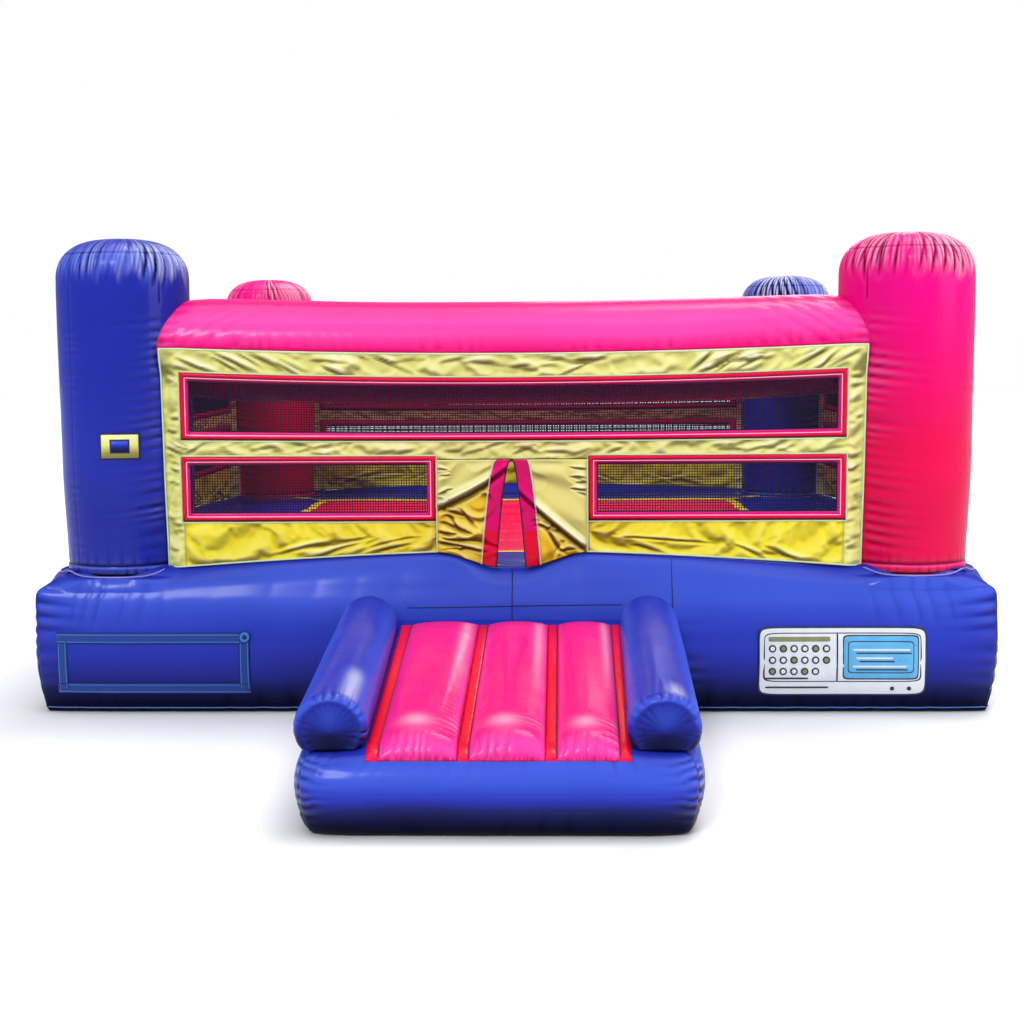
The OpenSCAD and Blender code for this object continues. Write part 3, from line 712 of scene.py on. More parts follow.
def curve(knots, steps):
    """A smooth line through the knots, with the same number of steps from each to the next"""
    p = np.asarray(knots, float)
    p = np.concatenate([[2 * p[0] - p[1]], p, [2 * p[-1] - p[-2]]])
    t = (np.arange(steps) / steps)[:, None]
    out = []
    for a, b, c, d in zip(p, p[1:], p[2:], p[3:]):
        squared, cubed = 2 * a - 5 * b + 4 * c - d, 3 * b - a - 3 * c + d
        out.append(0.5 * (2 * b + (c - a) * t + squared * t ** 2 + cubed * t ** 3))
    return np.concatenate(out + [[p[-2]]])


def skirt(a, b, sewn, cells, middle, corner, reach):
    """The inflated side from a to b, both (x, y), with its outside on the right of that way.
    middle and corner are its upright sections as (outward, height) in the same number of points;
    sewn says whether each end is a seam at a square corner. Gives the points, each one's distance from
    the nearer seam and from a, and the way out"""
    a, b = np.array(a, float), np.array(b, float)
    way = (b - a) / np.linalg.norm(b - a)
    out = np.array([way[1], -way[0]])
    mitre_a = out - way if sewn[0] else out
    mitre_b = out + way if sewn[1] else out
    length = np.linalg.norm(b - a)
    t = (spread(cells, 0.6) + 1) / 2
    from_a = t * length if sewn[0] else np.full_like(t, 9.0)
    from_b = (1 - t) * length if sewn[1] else np.full_like(t, 9.0)
    away = np.minimum(from_a, from_b)
    share = dome_rise(away, reach)[:, None, None]
    section = corner[None] * (1 - share) + middle[None] * share
    offset, z = section[..., 0], section[..., 1]
    start = a + offset[..., None] * mitre_a
    stop = b + offset[..., None] * mitre_b
    xy = start * (1 - t[:, None, None]) + stop * t[:, None, None]
    points = np.concatenate([xy, z[..., None]], -1)
    away = np.broadcast_to(away[:, None], z.shape)
    along = np.broadcast_to((t * length)[:, None], z.shape)
    return points, away, along, np.array([out[0], out[1], 0.0])


STEPS = 10  # grid rows from each knot of a section to the next
# upright sections of the base's side in its middle and at a corner: knots as (outward, height)
BASE_MIDDLE = curve(((-0.060, 0.002), (-0.026, 0.004), (0.004, 0.040), (0.032, 0.140), (0.042, 0.270),
                     (0.030, 0.410), (0.004, 0.525), (-0.032, 0.603), (-0.075, 0.650), (-0.119, 0.682),
                     (-0.165, 0.692), (-0.215, 0.674), (-0.300, 0.640)), STEPS)
BASE_CORNER = curve(((-0.060, 0.002), (-0.034, 0.004), (-0.028, 0.040), (-0.016, 0.150), (-0.007, 0.300),
                     (-0.002, 0.440), (0.000, 0.545), (-0.010, 0.592), (-0.048, 0.616), (-0.119, 0.654),
                     (-0.165, 0.672), (-0.215, 0.664), (-0.300, 0.640)), STEPS)
BASE_CELLS = 300        # grid cells along a side
BASE_REACH = 0.42       # how far from a corner the base's section is the middle's
# upright seams in the base's sides, as distances from the side's middle
BASE_SEAMS = {0: (0.0, 0.760), 1: (-0.76, 0.76), 2: (-0.76, 0.76), 3: (-0.76, 0.76)}
TOP_INSET = 0.300       # from the base's side to its plain top, under the floor
TOP_Z = 0.640
FOOT_INSET = 0.060      # from the base's side to its plain underside
BLUE_PIPING_R = 0.0032


def round_columns(x, y, z):
    """The base's top is drawn up round each column's foot"""
    near = np.hypot(np.abs(x) - COLUMN_AT, np.abs(y) - COLUMN_AT)
    return z + (1 - ease(0.345, 0.43, near)) * np.clip(0.650 - z, 0, 0.2)


def base_wave(x, y, z):
    """Slow unevenness of the base's sides"""
    broad, fine = noise(x * 1.3, y * 1.3, z * 1.9, seed=4), noise(x * 3.1, y * 3.1, z * 3.4, seed=5)
    return 0.007 * broad + 0.003 * fine


def base_chamber():
    patches = []
    ring = [(-HALF, -HALF), (HALF, -HALF), (HALF, HALF), (-HALF, HALF)]
    for k in range(4):
        points, away, along, out = skirt(ring[k], ring[(k + 1) % 4], (True, True), BASE_CELLS, BASE_MIDDLE,
                                         BASE_CORNER, BASE_REACH)
        z = points[..., 2]
        fade = ease(0, 0.10, away)
        upright = ease(0.03, 0.12, z) * (1 - ease(0.56, 0.66, z))
        push = base_wave(points[..., 0], points[..., 1], z) * fade * ease(0.0, 0.05, z)
        fan = z + 0.5 * away * (z - 0.30)
        fold = seam_folds(fan, away, *BASE_CORNER_FOLDS, 40 + k) * upright
        foot = seam_folds(along, z - 0.004, *BASE_FOOT_FOLDS, 50 + k) * fade * (1 - ease(0.1, 0.2, z))
        top = 0.0012 * (1 - gathers(along, 0.22, 60 + k)) * ease(0.50, 0.60, z)
        top = top * (1 - ease(0.64, 0.69, z)) * fade
        below_column = ease(0.75, 0.45, away) * ease(0.12, 0.25, away)
        streaks = 0.003 * (1 - gathers(along, 0.085, 62 + k)) * ease(0.38, 0.48, z)
        streaks = streaks * (1 - ease(0.60, 0.66, z))
        fold = fold + streaks * below_column
        painted_shade_and_seams = 0.5 * np.exp(-away / 0.005) * (z > 0.003)
        for at in BASE_SEAMS.get(k, ()):
            gap = np.abs(along - HALF - at)
            groove = np.exp(-gap / 0.006) * ease(0.02, 0.06, z) * (1 - ease(0.63, 0.68, z))
            push -= 0.002 * groove
            fold = fold + seam_folds(z, gap, *BASE_SEAM_FOLDS, 66) * upright
        dark, lit = fold_shades(-(fold + foot), 0.0040, 4)
        push -= fold + foot + top
        lift = 0.35 * push * ease(0.52, 0.62, z)
        # painted shade in the folds and painted shade darkening the side towards the ground; lit gives painted
        # highlights on the fold tops
        painted_shade_and_seams += 0.75 * dark * ease(0, 0.02, away) + 0.95 * (1 - ease(0.03, 0.17, z)) * (z > 0.003)
        points = points + push[..., None] * out
        inward = HALF - np.maximum(np.abs(points[..., 0]), np.abs(points[..., 1]))
        lift = lift + bow(along - HALF, k) * ease(0.58, 0.69, z) * (1 - ease(0.17, 0.29, inward))
        points[..., 2] += lift
        raised = round_columns(points[..., 0], points[..., 1], points[..., 2])
        points[..., 2] = np.where(z > 0.585, raised, points[..., 2])
        patches.append(patch(points, painted_shade_and_seams=painted_shade_and_seams, painted_highlight=0.2 * lit))
        cord = points[2:-2, 2 * STEPS - 3] + 0.002 * out
        patches.append(tube_patch(cord, BLUE_PIPING_R, 6, slot=1))
    for inset, z in ((TOP_INSET, TOP_Z), (FOOT_INSET, 0.002)):
        line = np.linspace(inset - HALF, HALF - inset, 12)
        u, v = np.meshgrid(line, line, indexing="ij")
        patches.append(patch(np.stack([u, v, 0 * u + z], -1)))
    place_padded("base_skin", patches, [BLUE, BLUE_CORD], "vinyl_blue", "base_chamber")


def shoulder_height(x, y):
    """Height of the base's top at a place outside the walls"""
    x, y = np.abs(np.asarray(x, float)), np.abs(np.asarray(y, float))
    inward = np.minimum(HALF - x, HALF - y)
    share = dome_rise(np.maximum(HALF - x, HALF - y), BASE_REACH)
    start = 6 * STEPS  # the section's turn-over, from where it only goes inward
    mid = np.interp(inward, -BASE_MIDDLE[start:, 0], BASE_MIDDLE[start:, 1])
    cor = np.interp(inward, -BASE_CORNER[start:, 0], BASE_CORNER[start:, 1])
    swell = bow(np.minimum(x, y), 1) * (1 - ease(0.17, 0.29, inward))
    return round_columns(x, y, cor * (1 - share) + mid * share + swell)


def base_seams():
    """Stitched seam lines on the base's sides: upright ones, and the ramp's along the front"""
    tubes = []
    z = np.linspace(0.02, 0.675, 90)
    for side, places in BASE_SEAMS.items():
        for at in places:
            x = np.full_like(z, at)
            p = np.stack([x, face_or_shoulder(x, z), z + bow(x, side) * ease(0.58, 0.69, z)], -1)
            tubes.append(tube_patch(turned(p, side), 0.0026, 5))
    x = np.linspace(-0.50, 0.52, 90)
    z = 0.515 + 0.006 * np.sin(3.0 * x)
    tubes.append(tube_patch(np.stack([x, face_or_shoulder(x, z), z], -1), 0.0026, 5))
    place(build("base_stitches", tubes, [THREAD], weld=0), "vinyl_blue")


def face_or_shoulder(x, z):
    """Front of the base at any height up to the walls"""
    top = STEPS * 10
    mid = np.interp(z, BASE_MIDDLE[STEPS:top, 1], BASE_MIDDLE[STEPS:top, 0])
    return -(HALF + mid + base_wave(x, -(HALF + mid), z) * ease(0.0, 0.05, z) * (1 - ease(0.60, 0.68, z)))


# ---------- the jumping floor ----------

def floor_height(x, y):
    """Crowned channels between the webs that run from side to side"""
    off = np.abs((y / WEB_PITCH + 0.5) % 1.0 - 0.5) * WEB_PITCH
    crown = 0.020 * dome_rise(off, 0.16) - 0.014
    fold = seam_folds(x, off, *FLOOR_FOLDS, 71)
    slow = 0.006 * noise(x * 1.7, y * 1.7, seed=72)
    return FLOOR_Z + crown - fold + slow


def floor_crease(y):
    off = np.abs((y / WEB_PITCH + 0.5) % 1.0 - 0.5) * WEB_PITCH
    return 0.7 * np.exp(-off / 0.006)


def floor_patch(x, y, lift=0.0, slot=0):
    return patch(np.stack([x, y, floor_height(x, y) + lift], -1), painted_shade_and_seams=floor_crease(y), slot=slot)


def jumping_floor():
    red_half = node_box("floor_red")[1][0] + 0.02
    seam_w = 0.060
    outer = WALL_Y + 0.01
    t = np.linspace(-red_half, red_half, 190)
    x, y = np.meshgrid(t, t, indexing="ij")
    red = build("floor_red_sheet", [floor_patch(x, y)], [PINK])
    place(red, "vinyl_pink", "floor_red")
    u, v = np.meshgrid(np.linspace(-1, 1, 240), np.linspace(0, 1, 46), indexing="ij")
    sides = []
    for side in range(4):
        out = red_half - 0.004 + v * (outer - red_half)
        p = turned(np.stack([u * out, -out, 0 * u], -1), side)
        sides.append(floor_patch(p[..., 0], p[..., 1], -0.001))
    place(build("floor_blue_sheet", sides, [BLUE]), "vinyl_blue", "floor_blue")
    border = node_box("floor_red")[1][0]
    strips = []
    v = np.linspace(0, 1, 5)
    for side in range(4):
        u, w = np.meshgrid(np.linspace(-1, 1, 220), v, indexing="ij")
        out = border + w * seam_w
        p = turned(np.stack([u * out, -out, 0 * u], -1), side)
        strips.append(floor_patch(p[..., 0], p[..., 1], 0.003 * np.sin(np.pi * w) + 0.001))
        a = math.radians(45 + 90 * side)
        run = np.linspace((border + seam_w) * 1.414 - 0.02, COLUMN_AT * 1.414, 24)
        s, w = np.meshgrid(run, v, indexing="ij")
        across = (w - 0.5) * seam_w
        x = s * math.cos(a) - across * math.sin(a)
        y = s * math.sin(a) + across * math.cos(a)
        strips.append(floor_patch(x, y, 0.003 * np.sin(np.pi * w) + 0.002))
    place(build("floor_border", strips, [YELLOW], weld=0), "vinyl_yellow", "floor_yellow_border")


# ---------- columns ----------

FOOT_Z = 0.600          # a column's skin goes down into the base's top
BAND_Z = (0.655, 0.700)  # the sewn band round a column's foot
DOME_Z = COLUMN_TOP - 0.205
WELT_LOW = 0.647        # lowest height of the violet welt on the base's outer corner
WELT_R = 0.345          # the welt's ring round the column's middle
CAP_AT = 0.135          # the seam where the cap is sewn in, above the dome's rim
PLEAT_PITCH = 0.062
FINE_PLEAT_PITCH = 0.026
DOME_HIGHLIGHT_AT = -0.55        # way, as an angle, in which the domes' pleats carry a painted highlight


def column_radius(z):
    foot = 0.012 * (1 - ease(0.70, 1.15, z))
    return COLUMN_R - foot


def column(node_name, colour, slot, seams, seed):
    lo, hi = node_box(node_name)
    cx, cy = (lo[0] + hi[0]) / 2, (lo[1] + hi[1]) / 2
    wall = np.concatenate([[FOOT_Z], np.linspace(0.645, 0.71, 14), np.linspace(0.72, DOME_Z, 150)])
    a = np.linspace(0, np.pi / 2, 60)[1:]
    r = np.concatenate([column_radius(wall), COLUMN_R * np.cos(a) ** 0.70])
    r[-1] = 0.0008
    rise = COLUMN_TOP - DOME_Z
    z = np.concatenate([wall, DOME_Z + rise * np.sin(a) ** 0.86])
    path = np.concatenate([[0], np.cumsum(np.hypot(np.diff(r), np.diff(z)))])
    theta, zz = np.meshgrid(ring_angles(360), z, indexing="ij")
    rr, ss = np.broadcast_to(r, zz.shape), np.broadcast_to(path, zz.shape)
    round_it = theta * COLUMN_R
    rim = path[len(wall) - 1]
    crown_at = ss - rim
    # pleats that fan out from the crown
    reach = 0.05 + 0.05 * noise(theta * 9 / np.pi, 1.5, seed=seed + 9)
    strength = ease(-reach, 0.07, crown_at) * ease(0.0, 0.12, rr) * ease(0.02, 0.10, rr)
    varied = np.clip(0.60 + 1.3 * noise(theta * 7 / np.pi, 0.5, seed=seed), 0.08, None)
    lean = theta + 0.9 * np.clip(crown_at, -0.1, 0.2) * np.sin(theta * 2 + seed)
    pleats = (1 - gathers(lean * COLUMN_R, PLEAT_PITCH, seed + 1)) * strength * varied
    fine = (1 - gathers(round_it, FINE_PLEAT_PITCH, seed + 2)) * strength * ease(0.0, 0.08, crown_at) * varied
    push = -0.019 * pleats - 0.008 * fine
    cap = np.exp(-np.abs(crown_at - CAP_AT) / 0.004)
    push -= 0.0025 * cap
    # painted shade in the pleats, and a dark line at the cap seam
    painted_shade_and_seams = 0.45 * pleats + 0.20 * fine + 0.5 * cap
    for k, at in enumerate(seams):
        away = np.abs(turn_from(theta, math.radians(at))) * COLUMN_R
        body = ease(0.70, 0.80, zz) * (1 - ease(-0.40, -0.12, crown_at))
        body = body * (0.35 + 0.65 * ease(-0.25, 0.35, noise(zz * 2.6, 0.4, seed=seed + 40 + k)))
        push -= body * seam_folds(zz + 0.12 * away, away, *COLUMN_SEAM_FOLDS[k], seed + 20 + k)
        seen_from = 1.95 if k < 2 else 0.70  # lower down the walls' ends cover these two
        groove = np.exp(-away / 0.004) * ease(seen_from, seen_from + 0.02, zz)
        groove = groove * (1 - ease(0.0, 0.1, crown_at))
        push -= 0.002 * groove
        painted_shade_and_seams = painted_shade_and_seams + (0.55 if k < 2 else 0.12) * groove
    # foot: two rings of stitches and the gathers between them
    for k, ring in enumerate(BAND_Z):
        away = np.abs(zz - ring)
        push -= 0.004 * np.exp(-away / 0.006)
        painted_shade_and_seams = painted_shade_and_seams + 0.75 * np.exp(-away / 0.0035)
        above = np.clip(zz - ring, 0, None) if k else away
        push -= seam_folds(round_it, above, *COLUMN_FOOT_FOLDS, seed + 30 + k) * (zz < 1.0)
    push += 0.003 * ease(BAND_Z[0], BAND_Z[0] + 0.01, zz) * (1 - ease(BAND_Z[1] - 0.01, BAND_Z[1], zz))
    slow = noise(np.cos(theta) * 0.9, np.sin(theta) * 0.9, zz * 1.6, seed=seed + 5)
    # painted shade in the pleats' valleys and painted highlights on their tops, and a streaky painted highlight
    # on one side of each dome's crown
    valley, lit = fold_shades(push, 0.0036, 5, (True, False))
    painted_shade_and_seams = painted_shade_and_seams + 0.85 * valley
    lit = lit * (0.45 + 0.55 * ease(-0.05, 0.05, crown_at))
    highlight_side = np.exp(-(turn_from(theta, DOME_HIGHLIGHT_AT) / 0.75) ** 2)
    ragged = 0.030 + 0.065 * noise(theta * 15 / np.pi * 2, 2.5, seed=seed + 11)
    bright = ease(ragged - 0.05, ragged + 0.02, crown_at) * (1 - ease(0.18, 0.26, crown_at))
    bright = bright * highlight_side * np.clip(1 - 1.6 * pleats, 0, 1)
    streaky = 0.25 + 0.75 * gathers(lean * COLUMN_R, 0.027, seed + 12) ** 3
    lit = np.maximum(lit, 0.8 * bright * streaky * (1 - valley))
    push += 0.004 * slow * ease(0, 0.2, rr)
    push = push * ease(0.0, 0.04, rr)
    radius = rr + push * np.where(ss < rim, 1.0, np.clip(rr / COLUMN_R, 0.3, 1))
    height = zz + np.where(ss < rim, 0, push * np.clip(1 - rr / COLUMN_R, 0, 1))
    points = np.stack([cx + radius * np.cos(theta), cy + radius * np.sin(theta), height], -1)
    bottom = points[:, :1]
    middle = np.broadcast_to(np.array([cx, cy, FOOT_Z]), bottom.shape) + 0.001 * (bottom - [cx, cy, FOOT_Z])
    points = np.concatenate([middle, points], 1)
    painted_shade_and_seams = np.concatenate([painted_shade_and_seams[:, :1], painted_shade_and_seams], 1)
    lit = np.concatenate([lit[:, :1], lit], 1)
    place_padded(node_name + "_skin", [patch(points, wrap_u=True, painted_shade_and_seams=painted_shade_and_seams, painted_highlight=0.9 * lit)], [colour],
                 slot, node_name)
    ring = np.linspace(0, 2 * np.pi, 96, endpoint=False)
    x, y = cx + WELT_R * np.cos(ring), cy + WELT_R * np.sin(ring)
    z = shoulder_height(x, y) + 0.002
    z = np.where(np.maximum(np.abs(x), np.abs(y)) < WALL_Y, FLOOR_Z + 0.004, np.maximum(z, WELT_LOW))
    for _ in range(8):
        z = np.maximum(z, (np.roll(z, 1) + 2 * z + np.roll(z, -1)) / 4)
    welt = build(node_name + "_welt", [tube_patch(np.stack([x, y, z], -1), 0.0045, 6, closed=True)],
                 [VIOLET])
    place(welt, "vinyl_blue")


# ---------- beams ----------

def sag(x):
    return SAG * np.clip(1 - (np.asarray(x) / 1.6) ** 2, 0, 1)


def beam(side, name):
    share = spread(280, 0.25)
    phi, t = np.meshgrid(ring_angles(144), share, indexing="ij")
    narrowed = 0.93 * BEAM_R
    sunk = np.clip((COLUMN_R - 0.003) ** 2 - (narrowed * np.cos(phi)) ** 2, 0, None)
    reach_in = COLUMN_AT - np.sqrt(sunk)
    x = t * reach_in
    from_end = (1 - np.abs(t)) * reach_in
    round_it = phi * BEAM_R
    push = -seam_folds(round_it, from_end, *BEAM_END_FOLDS, 200 + side)
    painted_shade_and_seams = 0.7 * np.exp(-from_end / 0.005)
    for k, at in enumerate((np.pi, 0.0)):  # the seams along the outer and inner equators
        away = np.abs(turn_from(phi, at)) * BEAM_R
        push -= seam_folds(x, away, *BEAM_SEAM_FOLDS, 220 + 7 * side + k)
        painted_shade_and_seams = painted_shade_and_seams + 0.6 * np.exp(-away / 0.004)
    slant = round_it * 0.8 + from_end * 0.9
    wrinkle = 0.004 * (1 - gathers(slant, 0.11, 240 + side)) * ease(0.75, 0.15, from_end)
    wrinkle = wrinkle * ease(0.02, 0.10, from_end)
    push -= wrinkle * (0.5 + 0.5 * noise(x * 3, phi * 2, seed=244 + side))
    # painted shade in the folds' valleys and painted highlights on their tops
    dark, lit = fold_shades(push, 0.0045, 5, (True, False))
    painted_shade_and_seams = painted_shade_and_seams + 0.7 * dark
    push += 0.005 * noise(x * 1.5, np.cos(phi) * 1.2, np.sin(phi) * 1.2, seed=230 + side)
    radius = BEAM_R * (1 - 0.07 * np.exp(-from_end / 0.09)) + push
    y = -COLUMN_AT + radius * np.cos(phi)
    behind_wall = (np.cos(phi) < 0) & (np.sin(phi) < 0.04)
    y = np.where(behind_wall, np.maximum(y, -(WALL_Y - 0.004)), y)
    z = BEAM_Z - sag(x) + radius * np.sin(phi)
    points = np.stack([x, y, z], -1)
    rim = points[:, :1]
    ends = [rim * 0 + [s * (COLUMN_AT - 0.1), -COLUMN_AT, BEAM_Z] + 0.002 * rim for s in (-1, 1)]
    points = turned(np.concatenate([ends[0], points, ends[1]], 1), side)
    painted_shade_and_seams = np.concatenate([painted_shade_and_seams[:, :1], painted_shade_and_seams, painted_shade_and_seams[:, -1:]], 1)
    lit = np.concatenate([lit[:, :1], lit, lit[:, -1:]], 1)
    place_padded(name + "_skin", [patch(points, wrap_u=True, painted_shade_and_seams=painted_shade_and_seams, painted_highlight=0.3 * lit)], [SKYLIT_PINK_BEAM],
                 "vinyl_pink", name)


# ---------- walls with their windows, bindings and nets ----------

SIDES = ("front", "right", "back", "left")
BINDING_W = 0.045
HIGH_Z = (1.350, 1.585)
LOW_Z = (0.955, 1.180)
WINDOW_HALF = node_box("binding_front")[1][0] - BINDING_W
ENTRY_HALF = 0.365
SLIT_TOP = 1.205


def windows_of(side):
    """Window openings as (x0, x1, z0, z1) inside their bindings"""
    high = (-WINDOW_HALF, WINDOW_HALF, *HIGH_Z)
    if side:
        return [high, (-WINDOW_HALF, WINDOW_HALF, *LOW_Z)]
    near = ENTRY_HALF + BINDING_W
    return [high, (-WINDOW_HALF, -near, *LOW_Z), (near, WINDOW_HALF, *LOW_Z)]


def wall_sag(x, z):
    """The walls hang from the beams, so their upper part follows the beams' sag"""
    return sag(x) * ease(1.15, 1.60, z)


def wall_half(z):
    """Half the wall's width: it meets the columns a little wider at the top than at the foot"""
    return 1.678 + 0.010 * (z - SHOULDER_Z) / (WALL_HI[2] - SHOULDER_Z)


def wall_depth(x, z):
    """Outward place of a wall's sheet: flat, and drawn in to the column or beam at its ends"""
    r = column_radius(z) + 0.003
    column_y = COLUMN_AT + np.sqrt(np.clip(r ** 2 - (np.abs(x) - COLUMN_AT) ** 2, 0, None))
    beam_y = COLUMN_AT + np.sqrt(np.clip((BEAM_R + 0.004) ** 2 - (z - BEAM_Z) ** 2, 0, None))
    meets = np.clip(np.maximum(column_y, beam_y), WALL_Y - 0.06, WALL_Y + 0.002)
    return WALL_Y + (meets - WALL_Y) * ease(1.60, 1.70, np.abs(x))


def wall_lift(x, z, side):
    """The walls' foot stands on the base's swollen roll"""
    return bow(x, side) * (1 - ease(0.70, 0.92, z))


def wall_folds(x, z, seed):
    """Single folds of a wall's sheet: slanting down from the upper corners, along the lower strips, and short
    ones across the margins beside the columns"""
    def slanting(at):
        return 0.42 * np.sign(at) * min(1.0, abs(at) / 1.2)

    folds = scattered(44, (-1.60, 1.60), (1.635, 1.735), slanting, 0.28, 0.0068, 0.0125, seed)
    folds += scattered(40, (-1.55, 1.55), (1.235, 1.300), lambda at: 0.10, 0.20, 0.0060, 0.0075, seed + 1)
    folds += scattered(5, (-1.25, -0.5), (0.70, 0.79), lambda at: 0.14, 0.42, 0.0090, 0.0085, seed + 2)
    folds += scattered(5, (0.5, 1.35), (0.70, 0.79), lambda at: -0.14, 0.42, 0.0090, 0.0085, seed + 3)
    for way in (-1, 1):
        edges = (1.575 * way, 1.655 * way)
        margin = (min(edges), max(edges))
        folds += scattered(24, margin, (0.75, 1.66), lambda at: 0.30 * way, 0.10, 0.0055, 0.0085, seed + 6 + way)
    return strokes(x, z, folds)


def lines(stops, step):
    """Grid lines through every stop, with even cells of about step between"""
    out = []
    for a, b in zip(stops, stops[1:]):
        out.append(np.linspace(a, b, max(2, int(math.ceil((b - a) / step)) + 1))[:-1])
    return np.concatenate(out + [[stops[-1]]])


WALL_CUT = {}


def wall_cut(side):
    """The wall's sheet as laid out and crumpled at the front, for the front wall or for a plain one"""
    gaps = windows_of(side)
    foot = SHOULDER_Z - 0.006
    xs, zs = {-WALL_HALF, WALL_HALF}, {foot, WALL_HI[2]}
    lap = 0.020
    holes = [(a - lap, b + lap, c - lap, d + lap) for a, b, c, d in gaps]
    if side == 0:
        holes.append((-ENTRY_HALF, ENTRY_HALF, foot, SLIT_TOP))
    for a, b, c, d in holes:
        xs |= {a, b}
        zs |= {c, d}
    step = 0.0085
    gx, gz = lines(sorted(xs), step), lines(sorted(zs), step)
    x, z = np.meshgrid(gx, gz, indexing="ij")
    mx, mz = (x[:-1, :-1] + x[1:, 1:]) / 2, (z[:-1, :-1] + z[1:, 1:]) / 2
    keep = np.ones(mx.shape, bool)
    free = np.minimum.reduce([WALL_HALF - np.abs(x), z - foot, gz[-1] - z])
    for k, (a, b, c, d) in enumerate(holes):
        keep &= ~((mx > a) & (mx < b) & (mz > c) & (mz < d))
        beside, above = np.maximum(a - x, x - b), np.maximum(c - z, z - d)
        apart = np.hypot(np.maximum(beside, 0), np.maximum(above, 0))
        free = np.minimum(free, np.maximum(apart - (0.022 if k < len(gaps) else 0), 0))
    seam_x = np.abs(np.abs(x) - (WINDOW_HALF + BINDING_W - 0.01))
    free = np.minimum(free, np.where(z < LOW_Z[0] - BINDING_W, seam_x, free))
    loose = ease(0.0, 0.03, free)
    seed = 300 + 40 * side
    slope = 0.42 * np.sign(x) * ease(0.5, 1.5, np.abs(x)) + 0.12 * np.sin(x * 3.1 + 0.4)
    folds = drape(x, z, slope, 0.26, 0.050, seed) * 0.0085
    low = ease(0.93, 0.85, z)
    folds = folds * (1 - low) + low * 0.0075 * drape(x, z, 0.10 * np.sin(x * 4.0 + 1.0), 0.45, 0.085, seed + 17)
    single, dark = wall_folds(x, z, seed + 20)
    push = (folds + single) * loose
    dark = dark * loose
    wide = np.sign(x) * (1.59 + (np.abs(x) - 1.59) * (wall_half(z) - 1.59) / (WALL_HALF - 1.59))
    x = np.where(np.abs(x) > 1.59, wide, x)
    flat = np.stack([x, -wall_depth(x, z), z], -1)
    start = flat + push[..., None] * [0, -1.0, 0]
    done = slackened(start, keep, free < 0.004)
    moved = done - flat
    out = -moved[..., 1]
    nearly = np.clip(0.004 + 0.55 * np.minimum(free, 0.05), 0.004, 0.024)
    out = np.clip(out, -nearly, 0.9 * nearly + 0.006)
    near_beam = ease(1.60, 1.66, z)
    out = np.maximum(out, -(0.020 * (1 - near_beam) + 0.002))
    smooth = blurred(out, 1)
    out = np.where(blurred(keep_points(keep), 1) > 0.99, smooth, out)
    moved[..., 1] = -out
    return gx, gz, keep, mx, mz, flat, moved, out, dark


def keep_points(keep):
    """1 at the grid points whose four cells are all kept"""
    whole = np.pad(keep, 1, mode="edge")
    return (whole[:-1, :-1] & whole[1:, :-1] & whole[:-1, 1:] & whole[1:, 1:]).astype(float)


def wall_sheet(side):
    plan = 0 if side == 0 else 1
    if plan not in WALL_CUT:
        WALL_CUT[plan] = wall_cut(plan)
    gx, gz, keep, mx, mz, flat, moved, out, dark = WALL_CUT[plan]
    points = flat + moved
    points[..., 2] += wall_lift(flat[..., 0], flat[..., 2], side) - wall_sag(flat[..., 0], flat[..., 2])
    # painted shade in the folds' valleys and painted highlights on their tops, with dark stitch lines
    painted_shade_and_seams, painted_highlight = fold_shades(out, 0.0065, 9)
    seam = np.abs(np.abs(flat[..., 0]) - (WINDOW_HALF + BINDING_W - 0.01))
    stitched = np.exp(-seam / 0.003) * (flat[..., 2] < LOW_Z[0] - BINDING_W)
    painted_shade_and_seams = painted_shade_and_seams * 0.30 + 0.88 * dark ** 1.6 + 0.8 * stitched
    lower = (mz < LOW_Z[0] - 0.02) & (np.abs(mx) < WINDOW_HALF + BINDING_W - 0.01)
    sheet_patch = patch(turned(points, side), keep=keep, painted_shade_and_seams=painted_shade_and_seams, painted_highlight=0.6 * painted_highlight)
    sheet_patch["slot"] = np.where(lower, 0, 1)[keep]
    piece = build(f"wall_{SIDES[side]}_sheet", [sheet_patch], [YELLOW, PALE])
    thicken(piece, 0.0016)
    place(piece, "vinyl_yellow", f"wall_{SIDES[side]}")


def frame_rows(window, outer, profile):
    """Points of a strip round a rectangle; profile is (share across, outward) from the inner to the outer edge"""
    a, b, c, d = window
    stops = []
    for (x0, z0), (x1, z1) in (((a, c), (b, c)), ((b, c), (b, d)), ((b, d), (a, d)), ((a, d), (a, c))):
        n = max(2, int(math.hypot(x1 - x0, z1 - z0) / 0.02))
        t = np.arange(n) / n
        stops.append(np.stack([x0 + (x1 - x0) * t, z0 + (z1 - z0) * t], -1))
    ring = np.concatenate(stops)
    mid = np.array([(a + b) / 2, (c + d) / 2])
    half = np.array([(b - a) / 2, (d - c) / 2])
    rows = []
    for share, out in profile:
        xz = mid + (ring - mid) * (half + share * outer) / half
        wave = 0.0015 * noise(xz[:, 0] * 9, xz[:, 1] * 9, seed=900)
        rows.append(np.stack([xz[:, 0], -(wall_depth(xz[:, 0], xz[:, 1]) + out + wave),
                              xz[:, 1] - wall_sag(xz[:, 0], xz[:, 1])], -1))
    return np.stack(rows, 1)


BINDING_PROFILE = ((0.0, -0.012), (0.02, -0.002), (0.10, 0.004), (0.24, 0.0075), (0.40, 0.0070), (0.48, 0.0072),
                   (0.54, 0.0095), (0.75, 0.0105), (0.90, 0.008), (0.97, 0.003), (1.0, -0.002))
BINDING_BACK = ((0.0, -0.012), (0.06, -0.016), (0.94, -0.016), (1.0, -0.010))


